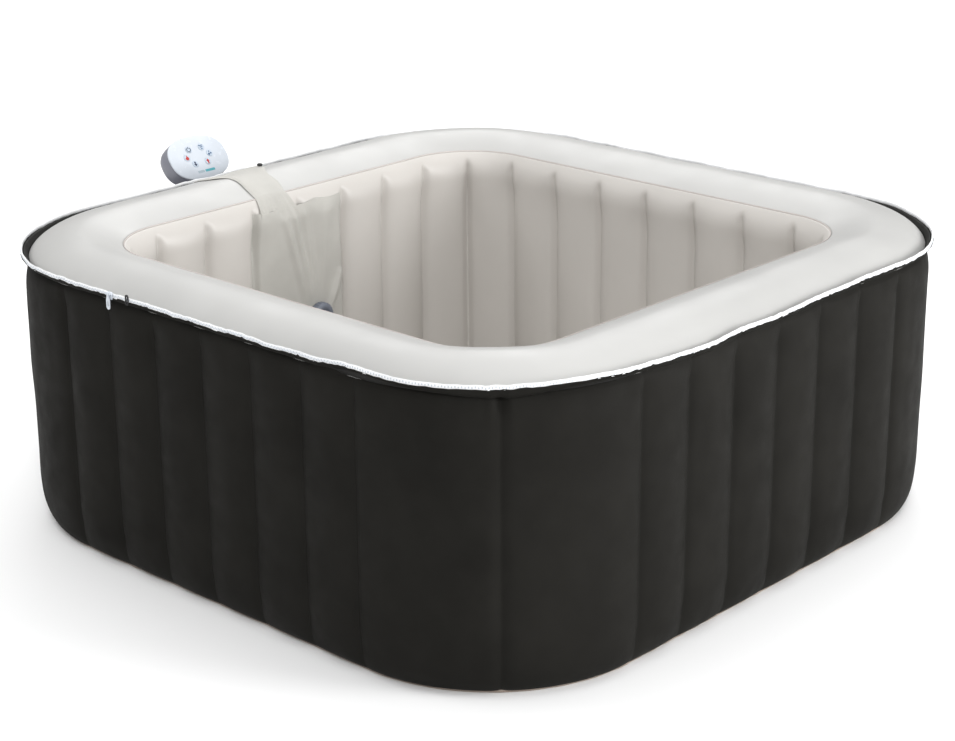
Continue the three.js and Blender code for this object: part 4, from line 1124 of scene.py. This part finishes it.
def make_buttons():
    """A slightly dished cap for each button, in a thin raised ring."""
    outline = [(0, -0.0024), (BUTTON_R, -0.0024), (BUTTON_R, 0.0009), (0.0071, 0.0013), (0, 0.0010)]
    cap = rounded_profile(outline, 0.4 * MM)
    ring = [(0.0083, -0.0005), (0.0095, -0.0005), (0.0093, 0.0004), (0.0085, 0.0004), (0.0083, -0.0005)]
    for name, (up, along) in BUTTONS.items():
        node = f"button_{name}"
        for piece, profile, body, nodes, slot in ((f"cap_{name}", cap, node, [node], "button_plastic"),
                                                  (f"bezel_{name}", ring, "tub", [], "face_plate")):
            mesh = turned(piece, profile, (0, 0, 0), axis="Z", segments=48)
            mesh.transform(on_face(up, along))
            settle(put(piece, mesh, BUTTON), body, nodes)


def flat_shape(made, points, place, depth=0.0003):
    """Extrudes an outline of (along, up) points into a thin raised mark."""
    lower = [made.verts.new(place @ Vector((-u, a, 0))) for a, u in points]
    upper = [made.verts.new(place @ Vector((-u, a, depth))) for a, u in points]
    made.faces.new(upper)
    made.faces.new(lower[::-1])
    count = len(points)
    for k in range(count):
        made.faces.new((lower[k], lower[(k + 1) % count], upper[(k + 1) % count], upper[k]))


def arc_band(radius, width, start, end, steps=18):
    """The outline of a curved bar. Angles run from the top."""
    angles = np.linspace(start, end, steps)
    outer = [((radius + width / 2) * math.sin(a), (radius + width / 2) * math.cos(a)) for a in angles]
    inner = [((radius - width / 2) * math.sin(a), (radius - width / 2) * math.cos(a)) for a in angles]
    return [*outer, *inner[::-1]]


def bar(along, up, width, height):
    return [(along + a * width / 2, up + u * height / 2) for a, u in ((-1, -1), (1, -1), (1, 1), (-1, 1))]


def dot(along, up, radius, steps=14):
    return [(along + radius * math.cos(a), up + radius * math.sin(a))
            for a in np.linspace(0, 2 * math.pi, steps, endpoint=False)]


def icon_shapes():
    """Outlines of each button's mark, in millimetres from its centre, with its colour."""
    gap = 0.6  # half the opening of the power ring, in radians
    ring = arc_band(3.8, 1.3, gap, 2 * math.pi - gap)
    flame = [(0, 5.2), (1.6, 2.2), (3.4, 0.4), (3.4, -2.4), (1.6, -4.4), (-1.6, -4.4), (-3.4, -2.4),
             (-3.0, 0.6), (-1.4, 0.2)]
    arrow = [(-3.6, 0.4), (0, 4.6), (3.6, 0.4), (1.4, 0.4), (1.4, -4.4), (-1.4, -4.4), (-1.4, 0.4)]
    return {
        "power": ([ring, bar(0, 3.2, 1.3, 4.0)], INK_DARK),
        "filter": ([bar(0, 3, 8.5, 1.4), bar(0, 0, 6.2, 1.4), bar(0, -3, 3.6, 1.4)], INK_BLUE),
        "heater": ([flame], INK_RED),
        "bubbles": ([dot(-2, -1.8, 2.1), dot(2.4, -0.6, 1.6), dot(-0.2, 3.0, 1.3)], INK_BLUE),
        "cooler": ([[(a, -u) for a, u in arrow][::-1]], INK_DARK),
        "warmer": ([arrow], INK_RED),
    }


def make_icons():
    for name, (shapes, ink) in icon_shapes().items():
        scale = 1.45 * MM
        made = bmesh.new()
        for points in shapes:
            outline = [(scale * a, scale * u) for a, u in points]
            flat_shape(made, outline, on_face(*BUTTONS[name], 0.0010), 0.0005)
        bmesh.ops.recalc_face_normals(made, faces=made.faces)
        mark = put(f"mark_{name}", taken_from(made, f"mark_{name}"), ink)
        settle(mark, f"button_{name}", [])


def make_label_bars():
    """Two plain bars under the buttons, where a label would be."""
    half_height = 0.0032
    corners = ((-0.97, -1), (0.97, -1), (1, 0), (0.97, 1), (-0.97, 1), (-1, 0))
    bars = (("label_grey", -0.013, 0.020, INK_GREY), ("label_teal", 0.015, 0.030, INK_TEAL))
    for name, along, width, ink in bars:
        made = bmesh.new()
        outline = [(along + a * width / 2, -0.0385 + u * half_height) for a, u in corners]
        flat_shape(made, outline, on_face(0, 0, -0.0001))
        bmesh.ops.recalc_face_normals(made, faces=made.faces)
        settle(put(name, taken_from(made, name), ink), "tub", [])


# ---- CAD nodes that keep their shape ----
def dress_nodes():
    """Gives each CAD node the material of its slot."""
    looks = {"web_sheet": WEB, "foam": FOAM, "dark_plastic": DARK, "fitting_plastic": FITTING,
             "filter_paper": FILTER, "shell_plastic": SHELL, "face_plate": FACE, "button_plastic": BUTTON,
             "board": BOARD, "steel": STEEL, "rubber": RUBBER, "motor_metal": MOTOR, "jacket": JACKET,
             "rim": RIM, "liner": LINER, "ground_sheet": GROUND, "zipper": ZIPPER, "cover_cloth": COVER}
    slots = {part["node"]: part["material_slot"] for part in frame["record"]["subparts"]}
    for name, node in frame["nodes"].items():
        node.data.materials.clear()
        node.data.materials.append(looks[slots[name]])


def round_off_nodes():
    """Rounded copies of the hard CAD pieces that can be seen."""
    for name, node, width, material, slot in (
        ("unit_case", "unit_shell", 5 * MM, SHELL, "shell_plastic"),
        ("unit_foot", "unit_base", 1.2 * MM, DARK, "dark_plastic"),
        ("filter_basket", "filter_cup", 0.8 * MM, FITTING, "fitting_plastic"),
        ("loop", "zipper_end_loop", 0.6 * MM, RUBBER, "rubber"),
        ("filter_lid", "filter_cap", 1.0 * MM, FITTING, "fitting_plastic"),
    ):
        body = next(b for b, members in frame["record"]["behaviour"]["bodies"].items() if node in members)
        bevelled_copy(name, node, width, material, body)


# ---- Stage, light and camera ----
def make_stage():
    """A plain pale floor and an even white surround."""
    mesh = bpy.data.meshes.new("studio_floor")
    corners = [(*spot, 0) for spot in bar(0, 0, 28, 28)]
    mesh.from_pydata(corners, [], [range(4)])
    look = Look("studio_floor", roughness=0.9)
    cloudy(look, (0.92, 0.92, 0.92), 0.01, 0.5)
    put("studio_floor", mesh, look.material)
    world = bpy.data.worlds.new("studio")
    world.use_nodes = True
    background = world.node_tree.nodes["Background"]
    background.inputs["Color"].default_value = (1, 1, 1, 1)
    background.inputs["Strength"].default_value = 0.38
    bpy.context.scene.world = world
    bpy.context.scene.view_settings.view_transform = "Standard"


def add_light(name, location, target, size, power):
    data = bpy.data.lights.new(name, "AREA")
    data.shape = "DISK"
    data.size = size
    data.energy = power
    light = bpy.data.objects.new(name, data)
    bpy.context.scene.collection.objects.link(light)
    light.location = location
    light.rotation_mode = "QUATERNION"
    light.rotation_quaternion = (Vector(target) - Vector(location)).to_track_quat("-Z", "Y")


def make_lights():
    add_light("key", (5.0, 1.9, 1.5), (0.4, 0, 0.3), 2.2, 225)
    add_light("front", (4.6, -4.9, 5.2), (-0.3, 0.3, 0.5), 2.4, 268)
    add_light("overhead", (-1.0, 1.0, 6.5), (-1.0, 1.0, 0), 11.0, 420)
    add_light("backdrop", (-5.0, 5.4, 5.0), (-5.6, 6.0, 0), 6.0, 330)
    add_light("left_floor", (-3.2, -2.8, 3.2), (-3.2, -2.8, 0), 2.6, 48)


CAMERA_AZIMUTH = math.radians(42.885)
CAMERA_ELEVATION = math.radians(19.506)
CAMERA_ROLL = math.radians(-0.4353)
CAMERA_DISTANCE = 4.9108
CAMERA_TARGET = Vector((-0.0037, -0.0035, 0.3052))
CAMERA_LENS = 82.75  # millimetres, on a 36 mm sensor


def make_camera():
    sin_a, cos_a = math.sin(CAMERA_AZIMUTH), math.cos(CAMERA_AZIMUTH)
    sin_e, cos_e = math.sin(CAMERA_ELEVATION), math.cos(CAMERA_ELEVATION)
    back = Vector((sin_a * cos_e, -cos_a * cos_e, sin_e))
    level = Vector((cos_a, sin_a, 0))
    upright = back.cross(level)
    right = level * math.cos(CAMERA_ROLL) + upright * math.sin(CAMERA_ROLL)
    up = back.cross(right)
    data = bpy.data.cameras.new("camera")
    data.lens = CAMERA_LENS
    data.sensor_width = 36
    camera = bpy.data.objects.new("camera", data)
    bpy.context.scene.collection.objects.link(camera)
    axes = Matrix((right, up, back)).transposed().to_4x4()
    camera.matrix_world = Matrix.Translation(CAMERA_TARGET + back * CAMERA_DISTANCE) @ axes
    bpy.context.scene.camera = camera


make_camera()
dress_nodes()
make_jacket()
make_chamber_wall()
make_webs()
make_ground_sheet()
make_zipper()
make_rim()
make_weld_line()
make_inner_wall()
make_floor()
make_bubble_duct()
make_strap()
make_apron()
make_press_stud()
make_union_nuts()
make_caps()
make_grille()
make_head()
round_off_nodes()
make_stage()
make_lights()
